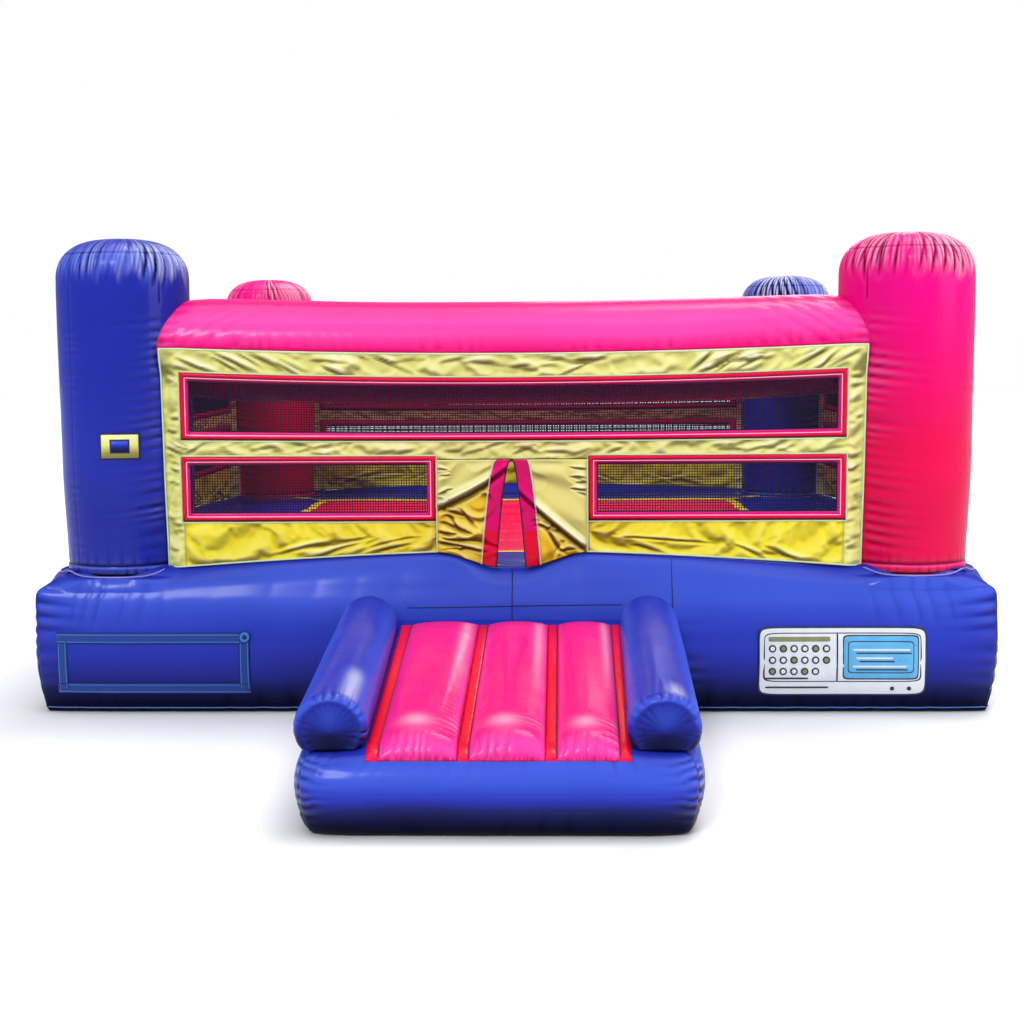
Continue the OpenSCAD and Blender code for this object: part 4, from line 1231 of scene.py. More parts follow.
def binding(side):
    parts, cords = [], []
    # slot 3 is a pale line of painted highlight along the binding
    tones = np.array([4, 4, 2, 2, 3, 2, 0, 0, 0, 4])  # slots from the window's side outward
    for w in windows_of(side):
        rows = frame_rows(w, BINDING_W, BINDING_PROFILE)
        tape = patch(turned(rows, side), wrap_u=True)
        tape["slot"] = np.tile(tones, len(rows))
        parts.append(tape)
        rows = frame_rows(w, BINDING_W, BINDING_BACK)
        parts.append(patch(turned(rows, side)[:, ::-1], wrap_u=True, slot=2))
        rows = frame_rows(w, BINDING_W + 0.004, ((1.0, 0.003),))
        cords.append(tube_patch(turned(rows[:, 0], side), 0.0038, 6, closed=True, slot=1))
    piece = build(f"binding_{SIDES[side]}_tape", parts + cords, [RED, PIPING, MAGENTA, PAINTED_GLEAM, THREAD])
    place(piece, "vinyl_red", f"binding_{SIDES[side]}")


def twine(path, thick):
    """One closed square twine along a path"""
    sleeve = tube_patch(path, thick / 2, 4)
    last = 4 * (len(path) - 1)
    ends = [[0, 1, 2, 3], [last, last + 3, last + 2, last + 1]]
    sleeve["faces"] = np.concatenate([sleeve["faces"], ends])
    return sleeve


def net(side):
    """Net of straight twines both ways, in every window of a wall"""
    pitch, thick, lap = 0.0125, 0.0066 if side else 0.0038, 0.018
    patches, cut = [], 0.0
    for a, b, c, d in windows_of(side):
        a, b, c, d = a - lap, b + lap, c - lap, d + lap
        depth = -(WALL_Y - 0.006)
        for x in np.arange(a + pitch / 2, b, pitch):
            z = np.linspace(c, d, 4)
            p = np.stack([np.full(4, x), np.full(4, depth), z - wall_sag(x, z)], -1)
            patches.append(twine(turned(p, side), thick))
        for z in np.arange(c + pitch / 2, d, pitch):
            x = np.linspace(a, b, 32)
            p = np.stack([x, np.full(32, depth + 0.001), z - wall_sag(x, z)], -1)
            patches.append(twine(turned(p, side), thick))
        cut += (b - a) * (d - c)
    piece = build(f"net_{SIDES[side]}_twine", patches, [NET], weld=0, smooth=False)
    place(piece, "net_dark", f"net_{SIDES[side]}")


def hems(side):
    """Cream piping along the beam, the base and the edges of a wall"""
    z_top, z_low = WALL_HI[2] - 0.002, SHOULDER_Z - 0.001
    runs = []

    def run(x, z):
        height = z + wall_lift(x, z, side) - wall_sag(x, z)
        runs.append(np.stack([x, -(wall_depth(x, z) + 0.003), height], -1))

    x = np.linspace(-wall_half(z_top), wall_half(z_top), 160)
    run(x, np.full_like(x, z_top))
    edge = wall_half(z_low)
    for a, b in [(-edge, edge)] if side else [(-edge, -ENTRY_HALF), (ENTRY_HALF, edge)]:
        x = np.linspace(a, b, 90)
        run(x, np.full_like(x, z_low))
    z = np.linspace(z_low, z_top, 60)
    for s in (-1, 1):
        run(s * (wall_half(z) - 0.003), z)
    cords = [tube_patch(turned(r, side), 0.0045, 6) for r in runs]
    piece = build(f"hem_{SIDES[side]}", cords, [PIPING], weld=0)
    place(piece, "vinyl_yellow")


# ---------- entry flaps ----------

def flap(s, name, band_name):
    """One half of the slit entry: sewn along its top and outer edge; its lower part is pulled aside and hangs
    crumpled below a fold in a darker yellow as painted shade, and a magenta band runs along the slit, red in its
    lower third as painted shade"""
    foot = SHOULDER_Z - 0.002
    nu, nv = 84, 112
    u, v = np.meshgrid(np.linspace(0, 1, nu), np.linspace(0, 1, nv), indexing="ij")
    slit = 0.073 * v ** 0.50 if s < 0 else 0.062 * v ** 0.62
    x = s * (ENTRY_HALF + (slit + 0.003 - ENTRY_HALF) * u)
    z = SLIT_TOP + (foot + bow(x) - SLIT_TOP) * v
    seed = 500 if s < 0 else 560
    across = np.abs(x) / ENTRY_HALF
    fold_z = 1.200 - 0.225 * across ** 0.72 if s < 0 else 1.090 - 0.320 * across ** 0.9
    below = (fold_z - z) * 0.85
    sewn = np.minimum((1 - np.abs(x) / ENTRY_HALF) * ENTRY_HALF, v * (SLIT_TOP - foot))
    sewn = np.where(u > 0.75, v * (SLIT_TOP - foot), sewn)
    loose = ease(0.0, 0.04, sewn) * (0.35 + 0.65 * ease(0.0, 0.06, (1 - v) * (SLIT_TOP - foot)))
    taped = ease(0.10, 0.05, np.abs(x) - slit)
    loose = loose * (1 - 0.75 * taped)
    under = ease(0.0, 0.03, below)
    push = 0.007 * drape(s * x, z, -0.5, 0.20, 0.06, seed) * (1 - under)
    push += 0.030 * np.exp(-((below + 0.012) / 0.016) ** 2)
    push -= 0.026 * np.exp(-((below - 0.018) / 0.012) ** 2)
    swirl = noise(x * 7, z * 7, seed=seed + 1) * 0.6
    push += 0.020 * drape(s * x, z, -0.75 + swirl, 0.20, 0.085, seed + 2) * under
    rng = np.random.default_rng(seed + 4)
    folds = []
    for k in range(8):
        folds.append((s * rng.uniform(0.17, 0.33), 0.77 + 0.026 * k, s * rng.normal(-0.35 + 0.13 * k, 0.16),
                      rng.uniform(0.10, 0.22), rng.uniform(0.008, 0.012), rng.uniform(0.007, 0.013),
                      rng.uniform(-0.20, 0.20)))
    single, dark = strokes(x, z, folds)
    fan = []
    for _ in range(7):
        fan.append((s * (ENTRY_HALF - rng.uniform(0.01, 0.05)), rng.uniform(1.0, 1.17),
                    s * rng.normal(-0.15, 0.12), rng.uniform(0.06, 0.16), 0.006, rng.uniform(0.004, 0.008),
                    rng.uniform(-0.05, 0.05)))
    small, dark_small = strokes(x, z, fan)
    push = (push + single * under + small * (1 - under)) * loose
    push += 0.012 * ease(0.5, 1.0, v) * ease(0.2, 1.0, u)
    y = -(WALL_Y + 0.014 + push)
    points = np.stack([x, y, z], -1)
    # painted shade along the fold, in the crumples and small folds, with a dark line at the sewn outer edge
    painted_shade_and_seams = 0.95 * np.exp(-((below - 0.010) / 0.010) ** 2) * ease(0.0, 0.02, sewn)
    fine, lit = fold_shades(push, 0.008, 8)
    painted_shade_and_seams = painted_shade_and_seams + 0.45 * fine + 0.65 * dark * under * loose + 0.45 * dark_small * (1 - under)
    painted_shade_and_seams = painted_shade_and_seams + 0.7 * np.exp(-u * ENTRY_HALF / 0.006)
    # below the fold the flap takes the darker yellow, as painted shade
    middle = (below[:-1, :-1] + below[1:, 1:]) / 2
    lay = patch(points, painted_shade_and_seams=painted_shade_and_seams, painted_highlight=0.5 * lit)
    lay["slot"] = np.where(middle > 0.012, 1, 0).reshape(-1)
    out = normals_of(points)
    out = np.where(out[..., 1:2] > 0, -out, out)
    edge = tube_patch(points[1] + 0.003 * out[1], 0.0036, 6, slot=2)
    cloth = build(name + "_sheet", [lay, edge], [PALE, SHADED_YELLOW, PIPING])
    band_w = 0.072
    inner = np.abs(x[-1])
    w = np.linspace(0, 1, 9)[:, None]
    wanted = inner[None] + (1 - w) * band_w
    proud = points + [0, -0.0065, 0]
    grid = np.stack([np.stack([np.interp(wanted[:, j], np.abs(x[::-1, j]), proud[::-1, j, c])
                               for j in range(nv)], 1) for c in range(3)], -1)
    grid[..., 0] = s * wanted
    band = patch(grid)
    # the band is red in its lower third, as painted shade, and magenta above
    band["slot"] = np.broadcast_to(np.where(v[0, :-1] > 0.66, 0, 2), (8, nv - 1)).reshape(-1)
    tape = build(band_name + "_tape", [band, tube_patch(grid[0] + [0, -0.002, 0], 0.0036, 6, slot=1),
                                       tube_patch(grid[-1], 0.0030, 6, slot=3)], [RED, PIPING, MAGENTA, THREAD])
    for piece, thick, node_name, slot in ((cloth, 0.0016, name, "vinyl_yellow"),
                                          (tape, 0.0012, band_name, "vinyl_red")):
        thicken(piece, thick)
        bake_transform(piece)
        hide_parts(node_name)


# ---------- ramp ----------

RAMP_FRONT, RAMP_BACK = -4.150, -(HALF + 0.002)
RAMP_LOW, RAMP_HIGH = 0.288, 0.440
RAMP_STEPS = 7          # grid rows from each knot of a section to the next
RAMP_REACH = 0.24


def ramp_top(y):
    return RAMP_LOW + (RAMP_HIGH - RAMP_LOW) * (y - RAMP_FRONT) / (RAMP_BACK - RAMP_FRONT)


# the ramp's sections: its sides' middles, its front's middle, and its front corners
RAMP_SIDE_MIDDLE = curve(((-0.050, 0.002), (-0.010, 0.004), (0.014, 0.035), (0.036, 0.110), (0.042, 0.170),
                          (0.030, 0.230), (0.004, 0.268), (-0.030, 0.290), (-0.080, 0.296), (-0.140, 0.296)),
                         RAMP_STEPS)
RAMP_FRONT_MIDDLE = curve(((-0.050, 0.002), (0.006, 0.004), (0.036, 0.035), (0.062, 0.105), (0.064, 0.165),
                           (0.046, 0.225), (0.016, 0.268), (-0.020, 0.292), (-0.070, 0.302), (-0.140, 0.300)),
                          RAMP_STEPS)
RAMP_CORNER = curve(((-0.050, 0.002), (-0.036, 0.004), (-0.026, 0.035), (-0.016, 0.110), (-0.012, 0.170),
                     (-0.012, 0.230), (-0.018, 0.268), (-0.036, 0.288), (-0.080, 0.295), (-0.140, 0.296)),
                    RAMP_STEPS)


def ramp_body():
    half0, half1 = 0.706, 0.716
    left, right = (-half0, RAMP_FRONT), (half0, RAMP_FRONT)
    back_left, back_right = (-half1, RAMP_BACK), (half1, RAMP_BACK)
    runs = ((left, right, (True, True), RAMP_FRONT_MIDDLE, 220),
            (right, back_right, (True, False), RAMP_SIDE_MIDDLE, 240),
            (back_left, left, (False, True), RAMP_SIDE_MIDDLE, 240))
    patches = []
    for k, (a, b, sewn, middle, cells) in enumerate(runs):
        points, away, along, out = skirt(a, b, sewn, cells, middle, RAMP_CORNER, RAMP_REACH)
        z = points[..., 2].copy()
        fade = ease(0, 0.05, away)
        upright = ease(0.02, 0.07, z) * (1 - ease(0.262, 0.292, z))
        push = 0.008 * noise(points[..., 0] * 3.2, points[..., 1] * 3.2, z * 6.0, seed=44)
        push = push * fade * ease(0, 0.05, z)
        fan = z + away * (z - 0.17) * 1.1
        fan = fan + 0.010 * noise(away * 18, z * 14, seed=641)
        corner_folds = seam_folds(fan, away, *RAMP_CORNER_FOLDS, 640 + k) * upright
        foot = seam_folds(along, z - 0.004, *RAMP_FOOT_FOLDS, 650 + k) * fade * (1 - ease(0.07, 0.16, z))
        top = seam_folds(along, 0.300 - z, *RAMP_TOP_FOLDS, 655 + k) * fade * ease(0.2, 0.25, z)
        push -= corner_folds + foot + top
        painted_shade_and_seams = 0.15 * np.exp(-away / 0.004) * (z > 0.003) * (z < 0.285)
        # painted shade in the folds and towards the ground, and painted highlights on the fold tops
        fine, lit = fold_shades(-(corner_folds + foot + top), 0.0034, 5)
        painted_shade_and_seams = painted_shade_and_seams + 0.9 * fine + 0.85 * (1 - ease(0.02, 0.12, z)) * (z > 0.003)
        points = points + push[..., None] * out
        points[..., 2] = z * ramp_top(points[..., 1]) / RAMP_LOW
        patches.append(patch(points, painted_shade_and_seams=painted_shade_and_seams, painted_highlight=0.3 * lit))
    x, y = np.meshgrid(np.linspace(-half0 + 0.14, half0 - 0.14, 8),
                       np.linspace(RAMP_FRONT + 0.14, RAMP_BACK, 16), indexing="ij")
    top_z = ramp_top(y) * 0.296 / RAMP_LOW
    patches.append(patch(np.stack([x, y, top_z], -1)))
    patches.append(patch(np.stack([x * 1.14, y, 0 * y + 0.002], -1)))
    x, z = np.meshgrid(np.linspace(-half1 + 0.03, half1 - 0.03, 8), np.linspace(0.002, RAMP_HIGH, 8),
                       indexing="ij")
    patches.append(patch(np.stack([x, 0 * x + RAMP_BACK, z], -1)))
    place_padded("ramp_skin", patches, [BLUE], "vinyl_blue", "ramp_base")


# the ramp's panel as x at its front and back: each channel is a flat strip, then a bulge
PANEL_X = ((-0.470, -0.512), (-0.425, -0.462), (-0.146, -0.150), (-0.104, -0.106), (0.166, 0.172), (0.208, 0.216),
           (0.430, 0.462), (0.470, 0.512))
CHANNEL_RISE = 0.076
CHANNEL_NODES = ("ramp_channel_left", "ramp_channel_middle", "ramp_channel_right")


def channel(k):
    """One flat strip and the inflated channel right of it, sewn down along a dark seam"""
    front, back = RAMP_FRONT - 0.012, RAMP_BACK - 0.150
    seed = 700 + 13 * k
    v = (spread(170, 0.5) + 1) / 2

    def across(n, at):
        return (PANEL_X[at][0] + (PANEL_X[at][1] - PANEL_X[at][0]) * v)[None, :] + 0 * n[:, None]

    def lay(first, cells, bulging):
        u = (spread(cells, 0.5) + 1) / 2
        x = across(u, first) * (1 - u[:, None]) + across(u, first + 1) * u[:, None]
        y = np.broadcast_to(front + (back - front) * v, x.shape)
        width = across(u, first + 1) - across(u, first)
        left, right = u[:, None] * width, (1 - u[:, None]) * width
        low, high = (y - front), (back - y)
        near, end = np.minimum(left, right), np.minimum(low, high)
        if not bulging:
            h = 0.004 * dome_rise(near, 0.02) * dome_rise(end, 0.03)
            h -= 0.5 * seam_folds(y, right, *STRIP_FOLDS, seed + 40 + first)
            return x, y, h, 0.85 * np.exp(-right / 0.0035) + 0.6 * np.exp(-left / 0.003), 0 * h
        front_rise = 0.30 * dome_rise(low, 0.08) + 0.70 * dome_rise(low, 0.30)
        h = CHANNEL_RISE * dome_rise(near, 0.13) ** 0.85 * front_rise
        h *= 0.10 * dome_rise(high, 0.06) + 0.90 * dome_rise(high, 0.75)
        fold = seam_folds(y, right, *CHANNEL_RIGHT_FOLDS, seed) * (0.45 + 0.55 * ease(0.5, 0.12, low))
        fold += 0.5 * seam_folds(y, left, *CHANNEL_LEFT_FOLDS, seed + 3)
        fold += seam_folds(x, low, *CHANNEL_LOW_FOLDS, seed + 5)
        fold += seam_folds(x, high, *CHANNEL_HIGH_FOLDS, seed + 6)
        slow = 0.004 * noise(x * 6, y * 2.0, seed=seed + 8) * ease(0, 0.05, near) * ease(0, 0.1, end)
        h = np.maximum(h - fold + slow, 0.0005)
        fine, lit = fold_shades(-fold, 0.004, 4)
        edge = 0.85 * np.exp(-near / 0.0035) + 0.6 * np.exp(-end / 0.004)
        # painted highlights as from the sky: a pale oval near each channel's front and a pale line along its
        # right side
        painted_glare = 0.42 * np.exp(-((low - 0.15) / 0.05) ** 2) * np.exp(-((left / width - 0.45) / 0.20) ** 2)
        painted_glare += 0.35 * np.exp(-((left / width - 0.86) / 0.07) ** 2) * ease(0.3, 1.2, low) * ease(0.0, 0.15, high)
        return x, y, h, edge + 0.6 * fine, 0.7 * lit + painted_glare

    parts = []
    runs = [(2 * k, 8, False), (2 * k + 1, 66, True)] + ([(6, 8, False)] if k == 2 else [])
    for first, cells, bulging in runs:
        x, y, h, painted_shade_and_seams, painted_highlight = lay(first, cells, bulging)
        parts.append(patch(np.stack([x, y, panel_top(y) + h], -1), painted_shade_and_seams=painted_shade_and_seams, painted_highlight=painted_highlight,
                           slot=0 if bulging else 1))
        parts.append(patch(np.stack([x, y, panel_top(y) - 0.012], -1)[:, ::-1], slot=1))
        rim = [np.stack([x, y, panel_top(y) + h], -1)[i, j] for i, j in
               ((slice(None), 0), (-1, slice(1, None)), (slice(-2, None, -1), -1), (0, slice(-2, 0, -1)))]
        rim = np.concatenate(rim)
        low = rim.copy()
        low[:, 2] = panel_top(low[:, 1]) - 0.012
        parts.append(patch(np.stack([rim, low], 1), wrap_u=True, slot=1))
    for at in (2 * k + 1,) + ((6,) if k == 2 else ()):
        x = PANEL_X[at][0] + (PANEL_X[at][1] - PANEL_X[at][0]) * v
        y = front + (back - front) * v
        parts.append(tube_patch(np.stack([x, y, panel_top(y) + 0.0015], -1)[3:-3], 0.0030, 6, slot=2))
    place_padded(CHANNEL_NODES[k] + "_skin", parts, [SKYLIT_PINK_CHANNEL, RED, THREAD], "vinyl_pink", CHANNEL_NODES[k],
                 weld=0.0002)


def panel_top(y):
    """Height of the ramp's panel, which follows the ramp's top and the roll of its front edge"""
    out = RAMP_FRONT - y
    outward, height = (RAMP_FRONT_MIDDLE[::-1, c][:RAMP_STEPS * 4] for c in (0, 1))
    section = np.interp(out, outward, height)
    return section * ramp_top(y) / RAMP_LOW + 0.004


def bolster(s, node_name):
    """A fat roll that lies along the ramp's edge, gathered on a disc at its front and rounded at its back"""
    front = np.array([s * (0.600 if s < 0 else 0.590), RAMP_FRONT + 0.020, 0.372])
    back = np.array([s * (0.664 if s < 0 else 0.640), -2.325, 0.462])
    r0, r1 = 0.134, 0.134
    axis = back - front
    length = np.linalg.norm(axis)
    axis /= length
    side_way = np.cross(axis, [0, 0, 1.0])
    side_way /= np.linalg.norm(side_way)
    up = np.cross(side_way, axis)
    cap = 0.045
    flat_steps = np.linspace(0, 1, 16)
    body = np.linspace(cap, length - r1, 110)
    tail = np.linspace(0, np.pi / 2, 26)[1:]
    disc = np.stack([0 * flat_steps, r0 * 0.78 * flat_steps], -1)
    turn_in = np.linspace(0, np.pi / 2, 22)[1:]
    lip = np.stack([cap * (1 - np.cos(turn_in)), r0 * 0.78 + r0 * 0.22 * np.sin(turn_in)], -1)
    barrel = np.stack([body[1:], np.full(len(body) - 1, r0)], -1)
    nose = np.stack([length - r1 + r1 * np.sin(tail), r1 * np.cos(tail) ** 0.9], -1)
    prof = np.concatenate([disc, lip, barrel, nose])
    prof[0, 1] = prof[-1, 1] = 0.0006
    run = np.concatenate([[0], np.cumsum(np.hypot(*np.diff(prof, axis=0).T))])
    phi, at = np.meshgrid(ring_angles(168), run, indexing="ij")
    along = np.broadcast_to(prof[:, 0], phi.shape)
    radius = np.broadcast_to(prof[:, 1], phi.shape)
    seed = 800 if s < 0 else 830
    lip_at = run[len(disc) - 1]
    round_it = phi * r0
    past = np.clip(at - lip_at, 0, None)
    before = np.clip(lip_at - at, 0, None)
    uneven = 0.35 + 0.65 * ease(-0.4, 0.5, noise(np.cos(phi) * 1.7, np.sin(phi) * 1.7, seed=seed + 8))
    push = -seam_folds(round_it, past, *BOLSTER_LIP_FOLDS, seed) * uneven
    fan = (1 - gathers(round_it, 0.040, seed)) * np.exp(-before / 0.022) * ease(0, 0.012, before) * uneven
    push_end = 0.006 * fan
    dome = 0.024 * ease(0.0, 1.0, np.clip(lip_at - at, 0, None) / lip_at)
    tail_at = run[len(disc) + len(lip) + len(barrel) - 1]
    before_tail = np.clip(tail_at + 0.10 - at, 0, None)
    push -= seam_folds(round_it, before_tail, *BOLSTER_TAIL_FOLDS, seed + 2) * (at < tail_at + 0.1)
    push += 0.003 * noise(along * 3, np.cos(phi) * 1.5, np.sin(phi) * 1.5, seed=seed + 3) * ease(0, 0.05, radius)
    fine, lit = fold_shades(push, 0.0045, 5, (True, False))
    # painted shade on the front disc and along the underside, and a painted highlight patch on the barrel's upper
    # side near the front
    facing = ease(0.030, -0.045, at - lip_at)
    painted_shade_and_seams = 0.85 * fine + 0.35 * fan + 0.62 * facing * (0.8 - 0.30 * np.sin(phi))
    painted_shade_and_seams = painted_shade_and_seams + 0.35 * ease(0.1, -0.7, np.sin(phi)) * (1 - facing)
    lit_at, lit_length = (1.05, 0.30) if s < 0 else (1.25, 0.05)
    painted_sheen = np.exp(-((phi - lit_at) / 0.24) ** 2) * ease(lit_length + 0.2, lit_length, past)
    painted_sheen = painted_sheen * ease(0.02, 0.08, past)
    lit = np.maximum(lit, 1.2 * painted_sheen)
    radius = np.maximum(radius + push * (radius > 0.01), 0.0004)
    along = along - dome + push_end
    centre = front + along[..., None] * axis
    points = centre + radius[..., None] * (np.cos(phi)[..., None] * side_way + np.sin(phi)[..., None] * up)
    floor_z = ramp_top(points[..., 1]) + 0.012
    sunk = np.clip(floor_z - points[..., 2], 0, None)
    points[..., 2] = np.maximum(points[..., 2], floor_z)
    middle = centre[..., 0]
    points[..., 0] += np.sign(points[..., 0] - middle) * 0.15 * np.minimum(sunk, 0.06)
    place_padded(node_name + "_skin", [patch(points, wrap_u=True, painted_shade_and_seams=painted_shade_and_seams, painted_highlight=0.5 * lit)], [BLUE],
                 "vinyl_blue", node_name)


# ---------- strips, sign and patch on the outside ----------

def ribbon(path, width, lift):
    """A flat tape on the base's front along a path in (x, z), with a light edge and a dark rim"""
    path = np.asarray(path, float)
    d = np.gradient(path, axis=0)
    d /= np.linalg.norm(d, axis=1)[:, None]
    across = np.stack([-d[:, 1], d[:, 0]], -1)
    t = np.array([-0.5, -0.45, -0.28, 0.28, 0.45, 0.5])
    xz = path[:, None] + across[:, None] * (t * width)[None, :, None]
    depth = front_face(xz[..., 0], xz[..., 1]) - lift * (1 - (2 * t) ** 6)[None, :] - 0.0005
    tape = patch(np.stack([xz[..., 0], depth, xz[..., 1]], -1))
    tape["slot"] = np.tile([2, 1, 0, 1, 2], len(path) - 1)
    return tape


def front_face(x, z):
    """The bulging front of the base, as base_chamber makes it"""
    rise = slice(STEPS, STEPS * 6)  # the upright part of the section
    share = dome_rise(HALF - np.abs(x), BASE_REACH)
    mid = np.interp(z, BASE_MIDDLE[rise, 1], BASE_MIDDLE[rise, 0])
    cor = np.interp(z, BASE_CORNER[rise, 1], BASE_CORNER[rise, 0])
    out = cor * (1 - share) + mid * share
    return -(HALF + out + base_wave(x, -(HALF + out), z)) - 0.003


def straight(a, b, n=40):
    t = np.linspace(0, 1, n)[:, None]
    return np.asarray(a, float) * (1 - t) + np.asarray(b, float) * t


def banner_strips():
    lo, hi = node_box("banner_strips")
    w = 0.052
    x0, x1, z0, z1 = lo[0] + w / 2, hi[0] - w / 2, lo[2] + w / 2, hi[2] - w / 2
    bars = [((x0 - w / 2, z0), (x1 + w / 2, z0)), ((x0, z0), (x0, z1)), ((x1, z0), (x1, z1)),
            ((x0 - w / 2, z1), (x1 + w / 2 - 0.02, z1))]
    parts = [ribbon(straight(a, b), w, 0.003 + 0.0008 * k) for k, (a, b) in enumerate(bars)]
    tab = x1 + 0.004, z1 + 0.006
    parts.append(disc_patch(*tab, 0.028, 0.003, 2))
    parts.append(disc_patch(*tab, 0.024, 0.005, 1))
    parts.append(disc_patch(*tab, 0.012, 0.006, 2))
    piece = build("banner_frame", parts, [STRIP, STRIP_EDGE, THREAD], weld=0)
    thicken(piece, 0.0018)
    place(piece, "hook_strip", "banner_strips")
    seams = []
    for a, b in bars:
        a, b = np.array(a), np.array(b)
        d = (b - a) / np.linalg.norm(b - a)
        n = np.array([-d[1], d[0]])
        for side in (-1, 1):
            p = straight(a, b, 60) + n * side * (w / 2 - 0.004)
            depth = front_face(p[:, 0], p[:, 1]) - 0.0055
            seams.append(tube_patch(np.stack([p[:, 0], depth, p[:, 1]], -1), 0.0014, 5))
    place(build("banner_stitches", seams, [THREAD], weld=0), "hook_strip")


def disc_patch(cx, cz, r, lift, slot, n=20):
    a = np.linspace(0, 2 * np.pi, n, endpoint=False)
    rings = np.array([0.0005, 0.7 * r, r, r])
    lifts = np.array([lift, lift, lift * 0.8, 0.0])
    x = cx + rings[None, :] * np.cos(a)[:, None]
    z = cz + rings[None, :] * np.sin(a)[:, None]
    return patch(np.stack([x, front_face(x, z) - 0.004 - lifts[None, :], z], -1), wrap_u=True, slot=slot)


def plate_patch(x0, x1, z0, z1, lift, slot):
    """A rounded rectangle on the base's front, standing lift proud of the sign's sheet"""
    cx, cz, hx, hz = (x0 + x1) / 2, (z0 + z1) / 2, (x1 - x0) / 2, (z1 - z0) / 2
    a = np.linspace(0, 2 * np.pi, 72, endpoint=False)
    px = np.sign(np.cos(a)) * np.abs(np.cos(a)) ** (2 / 14) * hx
    pz = np.sign(np.sin(a)) * np.abs(np.sin(a)) ** (2 / 14) * hz
    shares = np.array([0.001, 0.35, 0.7, 0.985, 1.0, 1.0])
    lifts = np.array([1, 1, 1, 1, 0.7, 0.0]) * lift
    x = cx + shares[None, :] * px[:, None]
    z = cz + shares[None, :] * pz[:, None]
    return patch(np.stack([x, front_face(x, z) - lifts[None, :], z], -1), wrap_u=True, slot=slot)


def sign():
    lo, hi = node_box("sign_panel")
    x0, x1, z0, z1 = lo[0], hi[0], lo[2], hi[2]
    w, h = x1 - x0, z1 - z0

    def plate(a, b, c, d, lift, slot):
        """A plate between shares a and b of the width and c and d of the height"""
        return plate_patch(x0 + a * w, x0 + b * w, z0 + c * h, z0 + d * h, lift, slot)

    parts = [plate(0, 1, 0, 1, 0.0040, 2), plate(0.008, 0.992, 0.02, 0.98, 0.0050, 0),
             plate(0.030, 0.970, 0.200, 0.920, 0.0054, 2), plate(0.035, 0.965, 0.215, 0.905, 0.0060, 0),
             plate(0.060, 0.430, 0.790, 0.860, 0.0068, 3), plate(0.045, 0.300, 0.245, 0.270, 0.0068, 2),
             plate(0.045, 0.420, 0.110, 0.135, 0.0068, 2),
             plate(0.465, 0.475, 0.215, 0.905, 0.0068, 2), plate(0.500, 0.955, 0.235, 0.890, 0.0068, 2),
             plate(0.507, 0.948, 0.255, 0.870, 0.0074, 1), plate(0.530, 0.925, 0.330, 0.800, 0.0080, 2),
             plate(0.535, 0.920, 0.345, 0.785, 0.0086, 1)]
    for low, left, right in ((0.42, 0.56, 0.88), (0.54, 0.58, 0.80), (0.66, 0.56, 0.90)):
        parts.append(plate(left, right, low, low + 0.025, 0.0092, 0))
        parts.append(plate(left + 0.02, right + 0.01, low - 0.045, low - 0.025, 0.0092, 2))
    for k, j in [(k, j) for j in range(3) for k in range(6) if (k, j) != (5, 0)]:
        at = x0 + (0.085 + 0.064 * k) * w, z0 + (0.36 + 0.165 * j) * h
        parts.append(disc_patch(*at, 0.018, 0.0045, 2))
        parts.append(disc_patch(*at, 0.011, 0.0055, 0 if (k + j) % 3 else 3))
    for at in (0.80, 0.90):
        parts.append(disc_patch(x0 + at * w, z0 + 0.105 * h, 0.010, 0.0035, 2))
    piece = build("sign_board", parts, [SIGN, SIGN_BLUE, SIGN_DARK, SIGN_OLIVE], weld=0)
    place(piece, "sign_white", "sign_panel")


def column_patch():
    lo, hi = node_box("column_patch")
    cx = cy = -COLUMN_AT

    def curved(x0, x1, z0, z1, lift, slot):
        t = np.linspace(0, 1, 22)
        edge = np.array([0, 0.06, 0.5, 0.94, 1.0])
        x, q = np.meshgrid(x0 + (x1 - x0) * t, edge, indexing="ij")
        z = z0 + (z1 - z0) * q
        from_foot, from_side = np.minimum(q, 1 - q) / 0.06, np.minimum(t, 1 - t)[:, None] / 0.05
        rounded = np.minimum(1, np.minimum(from_foot, from_side))
        r = column_radius(z) + 0.004 + lift * rounded
        y = cy - np.sqrt(r ** 2 - (x - cx) ** 2)
        return patch(np.stack([x, y, z], -1), slot=slot)

    x0, x1, z0, z1 = lo[0], hi[0], lo[2], hi[2]
    bx, bz = (x0 + x1) / 2 + 0.002, (z0 + z1) / 2
    parts = [curved(x0 - 0.004, x1 + 0.004, z0 - 0.004, z1 + 0.004, 0.003, 2),
             curved(x0, x1, z0, z1, 0.005, 0),
             curved(bx - 0.050, bx + 0.050, bz - 0.037, bz + 0.037, 0.0062, 2),
             curved(bx - 0.042, bx + 0.042, bz - 0.029, bz + 0.029, 0.0075, 1)]
    piece = build("column_badge", parts, [PALE, BLUE, THREAD], weld=0)
    place(piece, "vinyl_yellow", "column_patch")


# ---------- inflation tube ----------

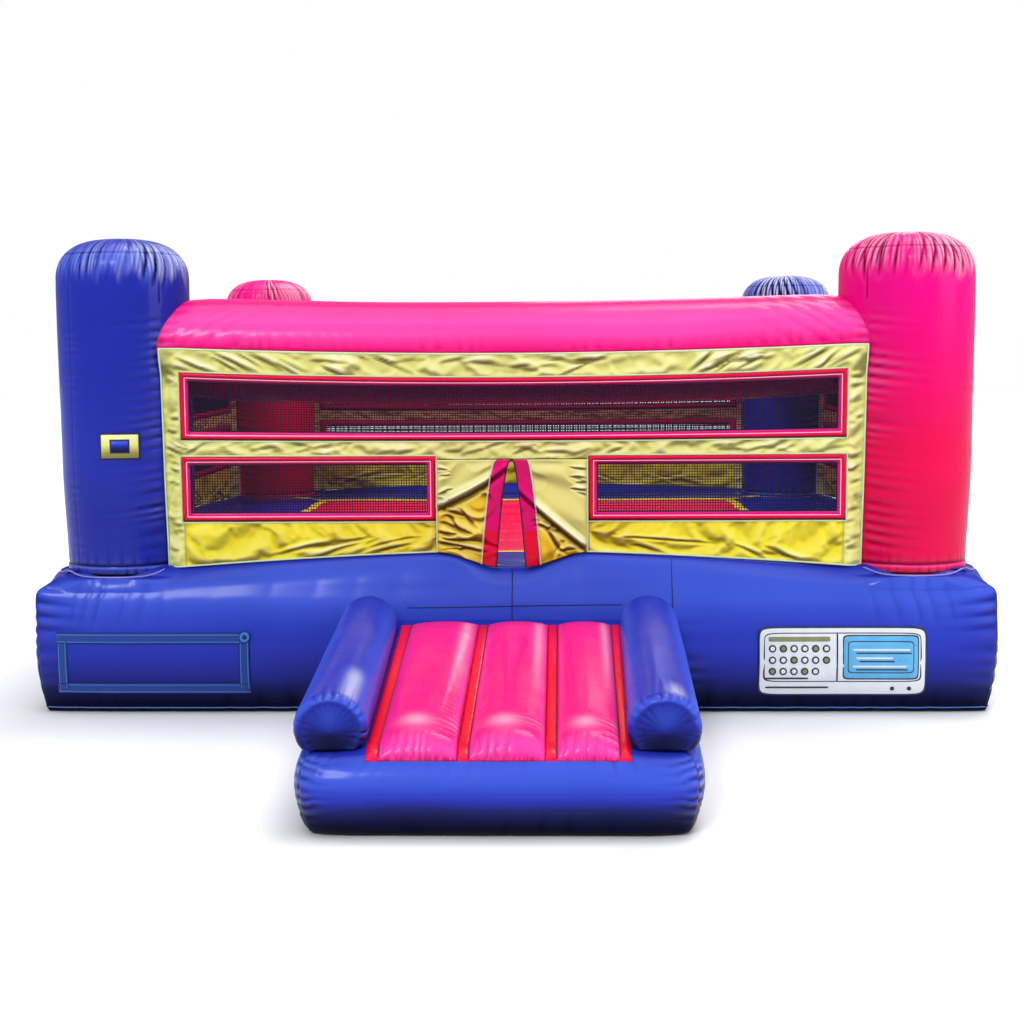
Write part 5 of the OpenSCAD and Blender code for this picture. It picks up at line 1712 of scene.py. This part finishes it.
def inflation_tube():
    lo, hi = node_box("inflation_tube")
    cx, cz, r = (lo[0] + hi[0]) / 2, (lo[2] + hi[2]) / 2, (hi[0] - lo[0]) / 2
    strap_lo, strap_hi = node_box("tube_strap")
    y = np.linspace(lo[1] - 0.01, hi[1], 170)
    phi, yy = np.meshgrid(ring_angles(120), y, indexing="ij")
    tied = np.exp(-((yy - (strap_lo[1] + strap_hi[1]) / 2) / 0.03) ** 2)
    frill = ease(strap_hi[1], hi[1], yy)
    round_it = phi * r
    push = -0.004 * tied - seam_folds(round_it, np.abs(yy - strap_lo[1]) + 0.02, *TUBE_TIE_FOLDS, 950)
    push += frill * 0.010 * (gathers(round_it, 0.045, 951) - 0.2)
    push -= seam_folds(round_it, yy - lo[1], *TUBE_ROOT_FOLDS, 952)
    push += 0.006 * noise(yy * 4, np.cos(phi) * 1.5, np.sin(phi) * 1.5, seed=953)
    on_nozzle = ease(strap_lo[1] - 0.055, strap_lo[1] - 0.025, yy)
    sagged = -0.012 * np.sin(np.pi * np.clip((yy - lo[1]) / (hi[1] - lo[1]), 0, 1)) * (1 - on_nozzle)
    rr = r - 0.002 + push
    rr = np.maximum(rr, (r - 0.0040) * on_nozzle)
    points = np.stack([cx + rr * np.cos(phi), yy, cz + rr * np.sin(phi) + sagged], -1)
    painted_shade_and_seams = 0.8 * np.exp(-(yy - lo[1]) / 0.012)
    piece = build("air_tube", [patch(points, wrap_u=True, painted_shade_and_seams=painted_shade_and_seams)], [BLUE])
    thicken(piece, 0.0015)
    place(piece, "vinyl_blue", "inflation_tube")


# ---------- everything ----------

camera()
studio()
base_chamber()
base_seams()
jumping_floor()
column("column_front_left", BLUE, "vinyl_blue", (-43, 133, -128), 101)
column("column_front_right", PINK, "vinyl_pink", (-137, 47, -22), 133)
column("column_back_left", PINK, "vinyl_pink", (47, -137, 130), 167)
column("column_back_right", BLUE, "vinyl_blue", (133, -43, 50), 181)
for k, side_name in enumerate(SIDES):
    beam(k, "beam_" + side_name)
    wall_sheet(k)
    binding(k)
    net(k)
    hems(k)
flap(-1, "entry_flap_left", "flap_band_left")
flap(1, "entry_flap_right", "flap_band_right")
ramp_body()
for k in range(3):
    channel(k)
bolster(-1, "ramp_bolster_left")
bolster(1, "ramp_bolster_right")
banner_strips()
sign()
column_patch()
inflation_tube()
